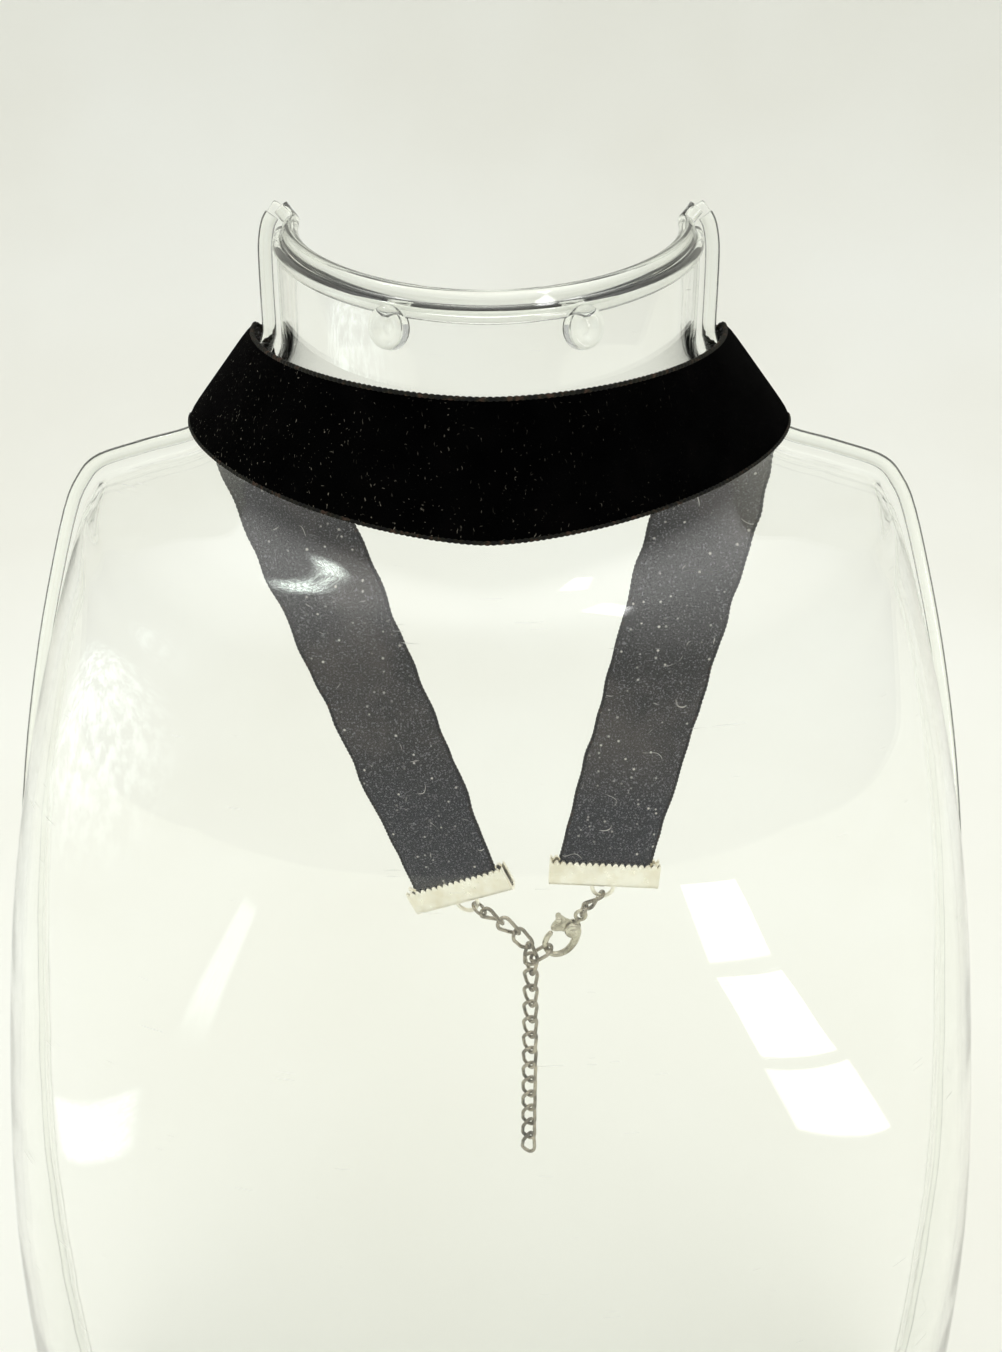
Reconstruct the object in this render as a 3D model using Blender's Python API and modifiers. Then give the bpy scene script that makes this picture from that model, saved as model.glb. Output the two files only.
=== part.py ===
# A velvet ribbon choker with a lobster clasp and extender chain, worn by a clear half-shell neck bust.
# Metres, +Z up. The wearer looks towards -Y, and the bust stands on Z = 0.
import math

import bmesh
import bpy
from mathutils import Matrix, Vector

mm = 0.001

# Velvet ribbon
ribbon_width = 18 * mm
ribbon_thickness = 1.0 * mm
ribbon_gap = 0.3 * mm

# Clear bust
bust_height = 284 * mm
bust_width = 213 * mm
bust_depth = 67 * mm
bust_wall = 1.8 * mm
flange_width = 3.4 * mm
neck_lip = 1.0 * mm
boss_radius = 2.6 * mm
boss_height = 1.4 * mm
boss_spacing = 25 * mm

# Ribbon end clamps
clamp_length = 22 * mm
clamp_height = 5.8 * mm
clamp_plate = 0.7 * mm
clamp_clearance = 0.2 * mm
tooth_pitch = 1.25 * mm
tooth_depth = 0.7 * mm
loop_half_width = 2.2 * mm
loop_depth = 2.6 * mm
loop_wire = 0.8 * mm
right_loop_turn = -9.0
left_loop_turn = 34.0

# Place of the right clamp under the bust's top, and how far the straps reach
right_clamp_x = 22.6 * mm
right_clamp_drop = 122.7 * mm
right_clamp_tilt = -2.8
left_clamp_tilt = 25.0
left_clamp_turn = 12.0

# Extender chain of twisted curb links
link_length = 5.9 * mm
link_width = 3.6 * mm
link_wire = 0.8 * mm
link_twist = 76.0
link_gap = 0.12 * mm
hooked_width = 4.2 * mm
hooked_spread = 0.65 * mm
tail_count = 13
tail_turn = 4.0

# Jump rings
ring_diameter = 3.8 * mm
clasp_ring_diameter = 3.3 * mm
ring_wire = 0.65 * mm

# Lobster clasp, measured from its rivet
clasp_thickness = 2.6 * mm
barrel_radius = 1.75 * mm
eye_offset = 3.6 * mm
eye_radius = 1.05 * mm
eye_wire = 0.8 * mm
hook_wire = 1.2 * mm
lever_thickness = 0.9 * mm
lever_clearance = 0.12 * mm
rivet_radius = 0.5 * mm
knob_radius = 0.65 * mm

# Bust sections from the neck's rim down. Shares of the bust's height below its top,
# of half its width, of its depth, of its height that the front hangs lower, and the roundness.
bust_sections = (
    # drop, half_width, depth, front_drop, roundness
    (0.000, 0.310, 0.522, 0.036, 1.85),
    (0.012, 0.331, 0.545, 0.037, 1.85),
    (0.026, 0.338, 0.548, 0.036, 1.82),
    (0.048, 0.340, 0.550, 0.031, 1.78),
    (0.068, 0.341, 0.553, 0.025, 1.74),
    (0.118, 0.452, 0.603, 0.038, 1.56),
    (0.128, 0.545, 0.670, 0.052, 1.76),
    (0.138, 0.625, 0.725, 0.070, 1.96),
    (0.154, 0.664, 0.765, 0.086, 2.08),
    (0.222, 0.736, 0.835, 0.074, 2.15),
    (0.339, 0.827, 0.900, 0.043, 2.20),
    (0.463, 0.894, 0.945, 0.018, 2.25),
    (0.694, 0.978, 0.985, 0.000, 2.30),
    (0.900, 1.000, 1.000, 0.000, 2.30),
    (1.000, 1.000, 1.000, 0.000, 2.30),
)
boss_row = 2
choker_top_row = 4
choker_base_row = 5
steps_per_row = 3
bust_columns = 26

# The hook's centre line and its thickness, as shares of eye_offset (along the clasp, across it) and hook_wire
hook_line = (
    # along, across, thickness
    (0.00, -0.22, 2.00),
    (0.42, -0.41, 1.50),
    (0.94, -0.47, 1.30),
    (1.48, -0.36, 1.15),
    (1.90, -0.06, 1.05),
    (2.06, 0.30, 1.00),
    (1.96, 0.67, 1.00),
    (1.62, 0.97, 1.05),
    (1.19, 1.06, 1.05),
    (0.80, 1.01, 0.95),
)
lever_outline = (
    # along, across
    (0.28, -0.16),
    (-0.20, -0.28),
    (-0.38, 0.06),
    (-0.44, 0.66),
    (-0.46, 0.98),
    (0.06, 1.16),
    (0.50, 1.16),
    (0.53, 0.90),
    (0.36, 0.52),
    (0.33, 0.10),
)
knob_place = (-0.32, 1.06)
hooked_place = (1.95, 0.68)

# Directions of the pieces from the right clamp's loop to the left one, in degrees from +X in the XZ plane
chain_route = (
    # piece, angle
    ("clasp_link", -135.0),
    ("clasp_ring", -115.0),
    ("clasp", -115.0),
    ("link_hooked", -146.0),
    ("link_4", 102.0),
    ("link_3", 128.0),
    ("link_2", 141.0),
    ("link_1", 145.0),
    ("ring_left", 142.0),
)

clamp_thickness = 2 * clamp_plate + ribbon_thickness + 2 * clamp_clearance
fold_radius = bust_wall / 2 + ribbon_gap + ribbon_thickness / 2
rear_reach = (
    bust_wall / 2
    + fold_radius
    - hooked_spread
    + math.sin(math.radians(left_clamp_turn))
    * (clamp_length / 2 + loop_half_width * math.sin(math.radians(left_loop_turn)))
    + math.cos(math.radians(left_clamp_turn)) * clamp_thickness / 2
)
back_y = (bust_depth - rear_reach) / 2
fold_y = back_y + bust_wall / 2
strap_y = fold_y + fold_radius


def clear_scene():
    for obj in list(bpy.data.objects):
        bpy.data.objects.remove(obj, do_unlink=True)


def make_collection(name):
    collection = bpy.data.collections.new(name)
    bpy.context.scene.collection.children.link(collection)
    return collection


def make_material(name, colour, roughness, metallic, transmission=0.0):
    material = bpy.data.materials.new(name)
    material.use_nodes = True
    shader = material.node_tree.nodes["Principled BSDF"]
    shader.inputs["Base Color"].default_value = (*colour, 1)
    shader.inputs["Roughness"].default_value = roughness
    shader.inputs["Metallic"].default_value = metallic
    shader.inputs["Transmission Weight"].default_value = transmission
    return material


def add_object(name, mesh, collection, material=None, matrix=None):
    obj = bpy.data.objects.new(name, mesh)
    collection.objects.link(obj)
    if material:
        mesh.materials.append(material)
    if matrix:
        obj.matrix_world = matrix
    return obj


def mesh_from(bm, name):
    bmesh.ops.recalc_face_normals(bm, faces=bm.faces)
    mesh = bpy.data.meshes.new(name)
    bm.to_mesh(mesh)
    bm.free()
    return mesh


def hide_cutter(obj):
    obj.hide_render = True
    obj.display_type = "WIRE"
    return obj


def boolean(obj, other, operation):
    modifier = obj.modifiers.new(operation.lower(), "BOOLEAN")
    modifier.operation = operation
    modifier.object = other
    modifier.solver = "EXACT"


def curve_mesh(name, points, radius, sides=6, cyclic=False, radii=None):
    """A wire along the points, as one closed mesh."""
    curve = bpy.data.curves.new(name, "CURVE")
    curve.dimensions = "3D"
    curve.bevel_depth = radius
    curve.bevel_resolution = (sides - 4) // 2
    curve.use_fill_caps = True
    spline = curve.splines.new("POLY")
    spline.points.add(len(points) - 1)
    spline.use_cyclic_u = cyclic
    for index, point in enumerate(points):
        spline.points[index].co = (*point, 1)
        spline.points[index].radius = radii[index] if radii else 1.0
    holder = bpy.data.objects.new(name, curve)
    bpy.context.scene.collection.objects.link(holder)
    bpy.context.view_layer.update()
    mesh = bpy.data.meshes.new_from_object(holder.evaluated_get(bpy.context.evaluated_depsgraph_get()))
    bpy.data.objects.remove(holder)
    bpy.data.curves.remove(curve)
    bm = bmesh.new()
    bm.from_mesh(mesh)
    bpy.data.meshes.remove(mesh)
    bmesh.ops.remove_doubles(bm, verts=bm.verts, dist=1e-6)
    return mesh_from(bm, name)


def direction(angle):
    turn = math.radians(angle)
    return Vector((math.cos(turn), 0, math.sin(turn)))


def frame_matrix(place, along, across):
    """A placement whose local X is along and whose local Y is across."""
    along = along.normalized()
    up = along.cross(across).normalized()
    across = up.cross(along)
    matrix = Matrix((along, across, up)).transposed().to_4x4()
    matrix.translation = place
    return matrix


def outline_point(row):
    """The bust's outline in its back plane, at a row of the table that may lie between two rows."""
    low = min(int(row), len(bust_sections) - 2)
    share = row - low
    drop, half = (a + (b - a) * share for a, b in zip(bust_sections[low][:2], bust_sections[low + 1][:2]))
    return Vector((bust_width / 2 * half, 0, bust_height * (1 - drop)))


def outline_normal(row):
    last = len(bust_sections) - 1
    run = outline_point(min(row + 0.5, last)) - outline_point(max(row - 0.5, 0))
    return Vector((-run.z, 0, run.x)).normalized()


def section(row):
    """The shell's section at a row: its edge at the back, how far it comes forward and how it hangs."""
    low = min(int(row), len(bust_sections) - 2)
    share = row - low
    _, _, depth, front_drop, roundness = (
        a + (b - a) * share for a, b in zip(bust_sections[low], bust_sections[low + 1])
    )
    return {
        "edge": outline_point(row) - outline_normal(row) * flange_width,
        "depth": bust_depth * depth,
        "front_drop": bust_height * front_drop,
        "roundness": roundness,
    }


def section_point(values, turn, edge, depth, base_y):
    """The point of a section at a turn from -90 to 90 degrees, where 0 is the front."""
    power = 2 / values["roundness"]
    side = math.copysign(abs(math.sin(turn)) ** power, turn)
    front = max(math.cos(turn), 0) ** power
    return Vector((edge.x * side, base_y - depth * front, edge.z - values["front_drop"] * front))


def build_bust(parts, cutters, clear):
    rows = (len(bust_sections) - 1) * steps_per_row
    bm = bmesh.new()
    grid = []
    for row in range(rows + 1):
        values = section(row / steps_per_row)
        lip = neck_lip if row <= steps_per_row else 0
        rim = outline_point(row / steps_per_row)
        line = [Vector((-rim.x, back_y, rim.z))]
        for column in range(bust_columns + 1):
            turn = math.radians(-90 + 180 * column / bust_columns)
            line.append(section_point(values, turn, values["edge"], values["depth"] + lip, back_y))
        line.append(Vector((rim.x, back_y, rim.z)))
        grid.append([bm.verts.new(point) for point in line])
    for upper, lower in zip(grid, grid[1:]):
        for i in range(len(upper) - 1):
            bm.faces.new((upper[i], lower[i], lower[i + 1], upper[i + 1]))
    mesh = bpy.data.meshes.new("neck_bust")
    bm.to_mesh(mesh)
    bm.free()
    bust = add_object("neck_bust", mesh, parts, clear)
    wall = bust.modifiers.new("wall", "SOLIDIFY")
    wall.thickness = bust_wall
    wall.offset = -1
    wall.use_even_offset = True
    for name, side in (("boss_left", -1), ("boss_right", 1)):
        boolean(bust, build_boss(name, side, cutters), "UNION")
    mesh.shade_smooth()
    mesh.set_sharp_from_angle(angle=math.radians(40))
    return bust


def build_boss(name, side, cutters):
    values = section(boss_row)
    power = values["roundness"] / 2
    turn = math.asin((boss_spacing / 2 / values["edge"].x) ** power)
    place = section_point(values, turn * side, values["edge"], values["depth"], back_y)
    outward = Vector((side * math.sin(turn), -math.cos(turn), 0))
    bm = bmesh.new()
    bmesh.ops.create_cone(bm, cap_ends=True, segments=20, radius1=boss_radius, radius2=boss_radius * 0.85,
                          depth=boss_height * 2)
    matrix = outward.to_track_quat("Z", "Y").to_matrix().to_4x4()
    matrix.translation = place
    return hide_cutter(add_object(name, mesh_from(bm, name), cutters, matrix=matrix))


def fold_normal():
    """Square to the fold line, away from the bust, in the back plane."""
    run = outline_point(choker_base_row) - outline_point(choker_top_row)
    return Vector((-run.z, 0, run.x)).normalized()


def ribbon_front():
    """Top and base points of the front band's middle surface, from the left fold to the right one."""
    rows = []
    count = bust_columns * 2
    for column in range(count + 1):
        turn = math.radians(-90 + 180 * column / count)
        pair = []
        for row in (choker_top_row, choker_base_row):
            values = section(row)
            edge = outline_point(row) + fold_normal() * fold_radius
            pair.append(section_point(values, turn, edge, values["depth"] + fold_radius, fold_y))
        rows.append(pair)
    return rows


def fold_rows(side):
    """The quarter turn of the ribbon round the bust's edge, from the side to the rear plane."""
    rows = []
    for step in range(1, 6):
        turn = math.radians(90 * step / 5)
        pair = []
        for row in (choker_top_row, choker_base_row):
            point = outline_point(row) + fold_normal() * fold_radius * math.cos(turn)
            pair.append(Vector((side * point.x, fold_y + fold_radius * math.sin(turn), point.z)))
        rows.append(pair)
    return rows


def ease(value):
    value = min(max(value, 0.0), 1.0)
    return value * value * (3 - 2 * value)


def strap_rows(side, start, clamp):
    """Rows of a rear strap, from its fold to inside its clamp."""
    inner, outer = start
    begin = (inner + outer) / 2
    mouth = clamp @ Vector((0, 0, clamp_height / 2))
    along = (mouth - begin).normalized()
    fold_cross = (outer - inner).normalized()
    square_cross = Vector((0, 1, 0)).cross(along) * -side
    if square_cross.dot(fold_cross) < 0:
        square_cross.negate()
    clamp_cross = (clamp.to_3x3() @ Vector((side, 0, 0))).normalized()
    begin_half = (outer - inner).length / 2
    rows = []
    count = 18
    for step in range(1, count + 1):
        share = step / count
        leave = ease(share / 0.30)
        arrive = ease((share - 0.72) / 0.28)
        cross = fold_cross.lerp(square_cross, leave).lerp(clamp_cross, arrive).normalized()
        half = begin_half + (ribbon_width / 2 - begin_half) * leave
        middle = begin.lerp(mouth, share)
        rows.append((middle - cross * half, middle + cross * half))
    end = clamp @ Vector((0, 0, -clamp_height / 2 + clamp_plate + ribbon_gap))
    rows.append((end - clamp_cross * ribbon_width / 2, end + clamp_cross * ribbon_width / 2))
    return rows


def build_ribbon(parts, velvet, clamps):
    left_fold, right_fold = fold_rows(-1), fold_rows(1)
    left = strap_rows(-1, left_fold[-1], clamps[-1])
    right = strap_rows(1, right_fold[-1], clamps[1])
    rows = list(reversed(left)) + list(reversed(left_fold)) + ribbon_front() + right_fold + right
    bm = bmesh.new()
    grid = [[bm.verts.new(top), bm.verts.new((top + base) / 2), bm.verts.new(base)] for top, base in rows]
    for first, second in zip(grid, grid[1:]):
        for i in range(2):
            bm.faces.new((first[i], first[i + 1], second[i + 1], second[i]))
    mesh = bpy.data.meshes.new("velvet_ribbon")
    bm.to_mesh(mesh)
    bm.free()
    ribbon = add_object("velvet_ribbon", mesh, parts, velvet)
    cloth = ribbon.modifiers.new("cloth", "SOLIDIFY")
    cloth.thickness = ribbon_thickness
    cloth.offset = 0
    cloth.use_even_offset = True
    return ribbon


def box_mesh(name, low, high):
    bm = bmesh.new()
    bmesh.ops.create_cube(bm, size=1)
    size = high - low
    bmesh.ops.scale(bm, vec=size, verts=bm.verts)
    bmesh.ops.translate(bm, vec=(low + high) / 2, verts=bm.verts)
    return mesh_from(bm, name)


def tooth_cutter(name, cutters, matrix):
    """A row of V notches across both leaves at the clamp's mouth."""
    bm = bmesh.new()
    count = int(clamp_length / tooth_pitch) - 1
    notch = tooth_pitch * 0.3
    for index in range(count):
        x = (index - (count - 1) / 2) * tooth_pitch
        corners = ((-notch, clamp_height / 2 + notch), (0, clamp_height / 2 - tooth_depth),
                   (notch, clamp_height / 2 + notch))
        rear = [bm.verts.new((x + dx, clamp_thickness, z)) for dx, z in corners]
        front = [bm.verts.new((x + dx, -clamp_thickness, z)) for dx, z in corners]
        bm.faces.new(rear)
        bm.faces.new(reversed(front))
        for i in range(3):
            bm.faces.new((rear[i], front[i], front[(i + 1) % 3], rear[(i + 1) % 3]))
    return hide_cutter(add_object(name, mesh_from(bm, name), cutters, matrix=matrix))


def build_clamp(name, parts, cutters, nickel, matrix):
    half = Vector((clamp_length, clamp_thickness, clamp_height)) / 2
    bm = bmesh.new()
    bmesh.ops.create_cube(bm, size=1)
    bmesh.ops.scale(bm, vec=half * 2, verts=bm.verts)
    bottom = [e for e in bm.edges
              if all(v.co.z < 0 for v in e.verts) and abs(e.verts[0].co.x - e.verts[1].co.x) > half.x]
    bmesh.ops.bevel(bm, geom=bottom, offset=clamp_plate, affect="EDGES", segments=3, profile=0.5)
    clamp = add_object(name, mesh_from(bm, name), parts, nickel, matrix)
    slot = half.y - clamp_plate
    mouth = box_mesh(name + "_slot", Vector((-half.x * 1.1, -slot, -half.z + clamp_plate)),
                     Vector((half.x * 1.1, slot, half.z * 1.2)))
    boolean(clamp, hide_cutter(add_object(name + "_slot", mouth, cutters, matrix=matrix)), "DIFFERENCE")
    boolean(clamp, tooth_cutter(name + "_teeth", cutters, matrix), "DIFFERENCE")
    arc = []
    for step in range(13):
        turn = math.radians(180 * step / 12)
        arc.append((loop_half_width * math.cos(turn), 0, -half.z - loop_depth * math.sin(turn)))
    root = clamp_plate / 2
    arc = [(arc[0][0], 0, -half.z + root)] + arc + [(arc[-1][0], 0, -half.z + root)]
    wire = curve_mesh(name + "_loop", arc, loop_wire / 2, sides=6)
    boolean(clamp, hide_cutter(add_object(name + "_loop", wire, cutters, matrix=matrix)), "UNION")
    return clamp


def loop_point(turn):
    """A point of the loop's wire in the clamp's frame, turned from straight down towards +X."""
    angle = math.radians(turn)
    return Vector((loop_half_width * math.sin(angle), 0, -clamp_height / 2 - loop_depth * math.cos(angle)))


def clamp_matrix(tilt, turn):
    tilt, turn = math.radians(tilt), math.radians(turn)
    length = Vector((math.cos(turn) * math.cos(tilt), -math.sin(turn), math.cos(turn) * math.sin(tilt)))
    up = Vector((-math.sin(tilt), 0, math.cos(tilt)))
    return Matrix((length, up.cross(length), up)).transposed().to_4x4()


def link_mesh(name, width, twist):
    """An oval link along X whose wire turns about its length by the twist, evenly from end to end."""
    half_length = (link_length - link_wire) / 2
    half_width = (width - link_wire) / 2
    straight = half_length - half_width
    points = []
    for end in (1, -1):
        for step in range(7):
            turn = math.radians(-90 + 180 * step / 6)
            x = end * (straight + half_width * math.cos(turn))
            w = end * half_width * math.sin(turn)
            roll = math.radians(twist) / 2 * x / half_length
            points.append((x, w * math.cos(roll), w * math.sin(roll)))
    return curve_mesh(name, points, link_wire / 2, sides=6, cyclic=True)


def ring_mesh(name, diameter, wire, segments=14):
    radius = (diameter - wire) / 2
    points = [(radius * math.cos(a), radius * math.sin(a), 0)
              for a in (math.tau * i / segments for i in range(segments))]
    return curve_mesh(name, points, wire / 2, sides=6, cyclic=True)


class Hanger:
    """Walks along the chain: a wire that the next piece hangs on."""

    def __init__(self, point, radius):
        self.point = point
        self.radius = radius

    def hang(self, inner_length, wire, along):
        half = inner_length / 2
        centre = self.point + along * (half - self.radius - link_gap)
        self.point = centre + along * (half + wire / 2)
        self.radius = wire / 2
        return centre


def link_matrix(centre, along, roll):
    across = Matrix.Rotation(math.radians(roll), 3, along) @ Vector((0, 1, 0))
    return frame_matrix(centre, along, across)


def clasp_point(matrix, along, across):
    return matrix @ Vector((along * eye_offset, 0, across * eye_offset))


def build_clasp_body(parts, cutters, nickel, matrix):
    points = [(along * eye_offset, 0, across * eye_offset) for along, across, _ in hook_line]
    radii = [thickness for _, _, thickness in hook_line]
    body = add_object("clasp_body", curve_mesh("clasp_body", smooth_line(points), hook_wire / 2, sides=8,
                                               radii=smooth_values(radii)), parts, nickel, matrix)
    barrel = bmesh.new()
    bmesh.ops.create_cone(barrel, cap_ends=True, segments=20, radius1=barrel_radius, radius2=barrel_radius,
                          depth=clasp_thickness)
    bmesh.ops.rotate(barrel, verts=barrel.verts, matrix=Matrix.Rotation(math.pi / 2, 3, "X"))
    add_union(body, "clasp_barrel", mesh_from(barrel, "clasp_barrel"), cutters, matrix)
    stem = [(-eye_offset + eye_radius * 0.8, 0, 0), (0, 0, 0)]
    add_union(body, "clasp_stem", curve_mesh("clasp_stem", stem, hook_wire * 0.75, sides=8, radii=[0.6, 1.2]),
              cutters, matrix)
    ring = [(-eye_offset + eye_radius * math.cos(a), 0, eye_radius * math.sin(a))
            for a in (math.tau * i / 14 for i in range(14))]
    add_union(body, "clasp_eye", curve_mesh("clasp_eye", ring, eye_wire / 2, sides=6, cyclic=True),
              cutters, matrix)
    slot = lever_thickness / 2 + lever_clearance
    reach = barrel_radius * 1.15
    mouth = box_mesh("clasp_slot", Vector((-reach, -slot, -reach)), Vector((reach, slot, reach * 1.4)))
    boolean(body, hide_cutter(add_object("clasp_slot", mouth, cutters, matrix=matrix)), "DIFFERENCE")
    pin = bmesh.new()
    bmesh.ops.create_cone(pin, cap_ends=True, segments=14, radius1=rivet_radius, radius2=rivet_radius,
                          depth=clasp_thickness + 0.3 * mm)
    bmesh.ops.rotate(pin, verts=pin.verts, matrix=Matrix.Rotation(math.pi / 2, 3, "X"))
    add_union(body, "clasp_rivet", mesh_from(pin, "clasp_rivet"), cutters, matrix)
    return body


def add_union(body, name, mesh, cutters, matrix):
    boolean(body, hide_cutter(add_object(name, mesh, cutters, matrix=matrix)), "UNION")


def smooth_line(points, per_span=3):
    """Catmull-Rom points through the given ones."""
    points = [Vector(p) for p in points]
    padded = [points[0] * 2 - points[1]] + points + [points[-1] * 2 - points[-2]]
    line = []
    for i in range(len(points) - 1):
        a, b, c, d = padded[i:i + 4]
        for step in range(per_span):
            t = step / per_span
            line.append((b * 2 + (c - a) * t + (a * 2 - b * 5 + c * 4 - d) * t * t
                         + (b * 3 - c * 3 + d - a) * t * t * t) / 2)
    return line + [points[-1]]


def smooth_values(values, per_span=3):
    line = []
    for low, high in zip(values, values[1:]):
        line += [low + (high - low) * step / per_span for step in range(per_span)]
    return line + [values[-1]]


def build_lever(parts, cutters, nickel, matrix):
    bm = bmesh.new()
    outline = [(along * eye_offset, across * eye_offset) for along, across in lever_outline]
    front = [bm.verts.new((x, -lever_thickness / 2, z)) for x, z in outline]
    plate = bm.faces.new(front)
    grown = bmesh.ops.extrude_face_region(bm, geom=[plate])
    moved = [v for v in grown["geom"] if isinstance(v, bmesh.types.BMVert)]
    bmesh.ops.translate(bm, vec=(0, lever_thickness, 0), verts=moved)
    lever = add_object("clasp_lever", mesh_from(bm, "clasp_lever"), parts, nickel, matrix)
    knob = bmesh.new()
    bmesh.ops.create_cone(knob, cap_ends=True, segments=14, radius1=knob_radius, radius2=knob_radius,
                          depth=clasp_thickness * 0.9)
    bmesh.ops.rotate(knob, verts=knob.verts, matrix=Matrix.Rotation(math.pi / 2, 3, "X"))
    place = Vector((knob_place[0] * eye_offset, 0, knob_place[1] * eye_offset))
    bmesh.ops.translate(knob, vec=place, verts=knob.verts)
    add_union(lever, "lever_knob", mesh_from(knob, "lever_knob"), cutters, matrix)
    hole = bmesh.new()
    bmesh.ops.create_cone(hole, cap_ends=True, segments=16, radius1=rivet_radius + lever_clearance,
                          radius2=rivet_radius + lever_clearance, depth=lever_thickness * 2)
    bmesh.ops.rotate(hole, verts=hole.verts, matrix=Matrix.Rotation(math.pi / 2, 3, "X"))
    boolean(lever, hide_cutter(add_object("lever_hole", mesh_from(hole, "lever_hole"), cutters, matrix=matrix)),
            "DIFFERENCE")
    return lever


def build():
    clear_scene()
    parts = make_collection("choker_necklace")
    cutters = make_collection("cutters")
    clear = make_material("clear_plastic", (0.93, 0.95, 0.93), 0.05, 0.0, 0.95)
    velvet = make_material("black_velvet", (0.004, 0.004, 0.004), 0.9, 0.0)
    nickel = make_material("pale_nickel", (0.72, 0.69, 0.62), 0.25, 1.0)
    build_bust(parts, cutters, clear)

    angles = dict(chain_route)
    right = clamp_matrix(right_clamp_tilt, 0)
    right.translation = Vector((right_clamp_x, strap_y, bust_height - right_clamp_drop))
    build_clamp("clamp_right", parts, cutters, nickel, right)

    shared_link = link_mesh("curb_link", link_width, link_twist)
    shared_link.materials.append(nickel)
    inner = link_length - 2 * link_wire

    def place_link(name, walker, angle, roll):
        along = direction(angle)
        centre = walker.hang(inner, link_wire, along)
        add_object(name, shared_link, parts, matrix=link_matrix(centre, along, roll))

    def place_ring(name, walker, diameter, roll):
        along = direction(angles[name])
        centre = walker.hang(diameter - 2 * ring_wire, ring_wire, along)
        mesh = ring_mesh(name, diameter, ring_wire)
        add_object(name, mesh, parts, nickel, link_matrix(centre, along, roll))

    walker = Hanger(right @ loop_point(right_loop_turn), loop_wire / 2)
    place_link("clasp_link", walker, angles["clasp_link"], link_twist / 2)
    place_ring("clasp_ring", walker, clasp_ring_diameter, 0)

    along = direction(angles["clasp"])
    eye_reach = eye_offset + eye_radius - eye_wire / 2 - walker.radius - link_gap
    clasp = frame_matrix(walker.point + along * eye_reach, along, Vector((0, -1, 0)))
    build_clasp_body(parts, cutters, nickel, clasp)
    build_lever(parts, cutters, nickel, clasp)

    walker = Hanger(clasp_point(clasp, *hooked_place), hook_wire / 2)
    along = direction(angles["link_hooked"])
    centre = walker.hang(inner, link_wire, along)
    hooked = link_mesh("link_hooked", hooked_width, 0)
    add_object("link_hooked", hooked, parts, nickel, link_matrix(centre, along, 0))
    end = walker.point
    spread = Vector((0, hooked_spread, 0))

    walker = Hanger(end + spread, link_wire / 2)
    for index in range(tail_count):
        roll = -90 + link_twist / 2 - tail_turn * index
        place_link(f"tail_{index + 1}", walker, -90, roll)

    walker = Hanger(end - spread, link_wire / 2)
    count = 4
    for index in range(count):
        name = f"link_{count - index}"
        start, finish = 90 + link_twist / 2, 90 - link_twist / 2
        place_link(name, walker, angles[name], start + (finish - start) * index / (count - 1))
    place_ring("ring_left", walker, ring_diameter, 0)

    left = clamp_matrix(left_clamp_tilt, left_clamp_turn)
    loop_centre = walker.point - direction(angles["ring_left"]) * (ring_wire / 2 + link_gap + loop_wire / 2)
    left.translation = loop_centre - left.to_3x3() @ loop_point(left_loop_turn)
    build_clamp("clamp_left", parts, cutters, nickel, left)
    build_ribbon(parts, velvet, {-1: left, 1: right})


build()
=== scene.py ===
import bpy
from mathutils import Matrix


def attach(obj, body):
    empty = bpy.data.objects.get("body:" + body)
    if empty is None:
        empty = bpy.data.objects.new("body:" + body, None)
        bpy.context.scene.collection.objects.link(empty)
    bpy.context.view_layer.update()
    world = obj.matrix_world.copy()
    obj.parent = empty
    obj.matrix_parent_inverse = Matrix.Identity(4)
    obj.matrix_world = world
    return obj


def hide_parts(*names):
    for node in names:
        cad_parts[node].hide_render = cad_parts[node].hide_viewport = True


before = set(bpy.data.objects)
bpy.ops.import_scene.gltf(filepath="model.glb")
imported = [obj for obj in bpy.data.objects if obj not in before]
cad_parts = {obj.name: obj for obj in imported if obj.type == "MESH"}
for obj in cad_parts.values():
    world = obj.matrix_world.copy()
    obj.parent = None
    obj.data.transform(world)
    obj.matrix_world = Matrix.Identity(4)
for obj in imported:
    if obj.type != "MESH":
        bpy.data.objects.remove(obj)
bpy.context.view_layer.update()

import math

import bmesh
import bpy
from mathutils import Matrix, Vector, noise

# Every length below is in millimetres in the part's own frame, and a mesh is brought to metres when it becomes a piece.
mm = 0.001
necklaceBody = "necklace_on_bust"
leverBody = "lever"

view = {
    "place": (1.9, -140.1, 275.0),
    "pitch": 22.3,
    "lens": 26.9,
}

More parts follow.
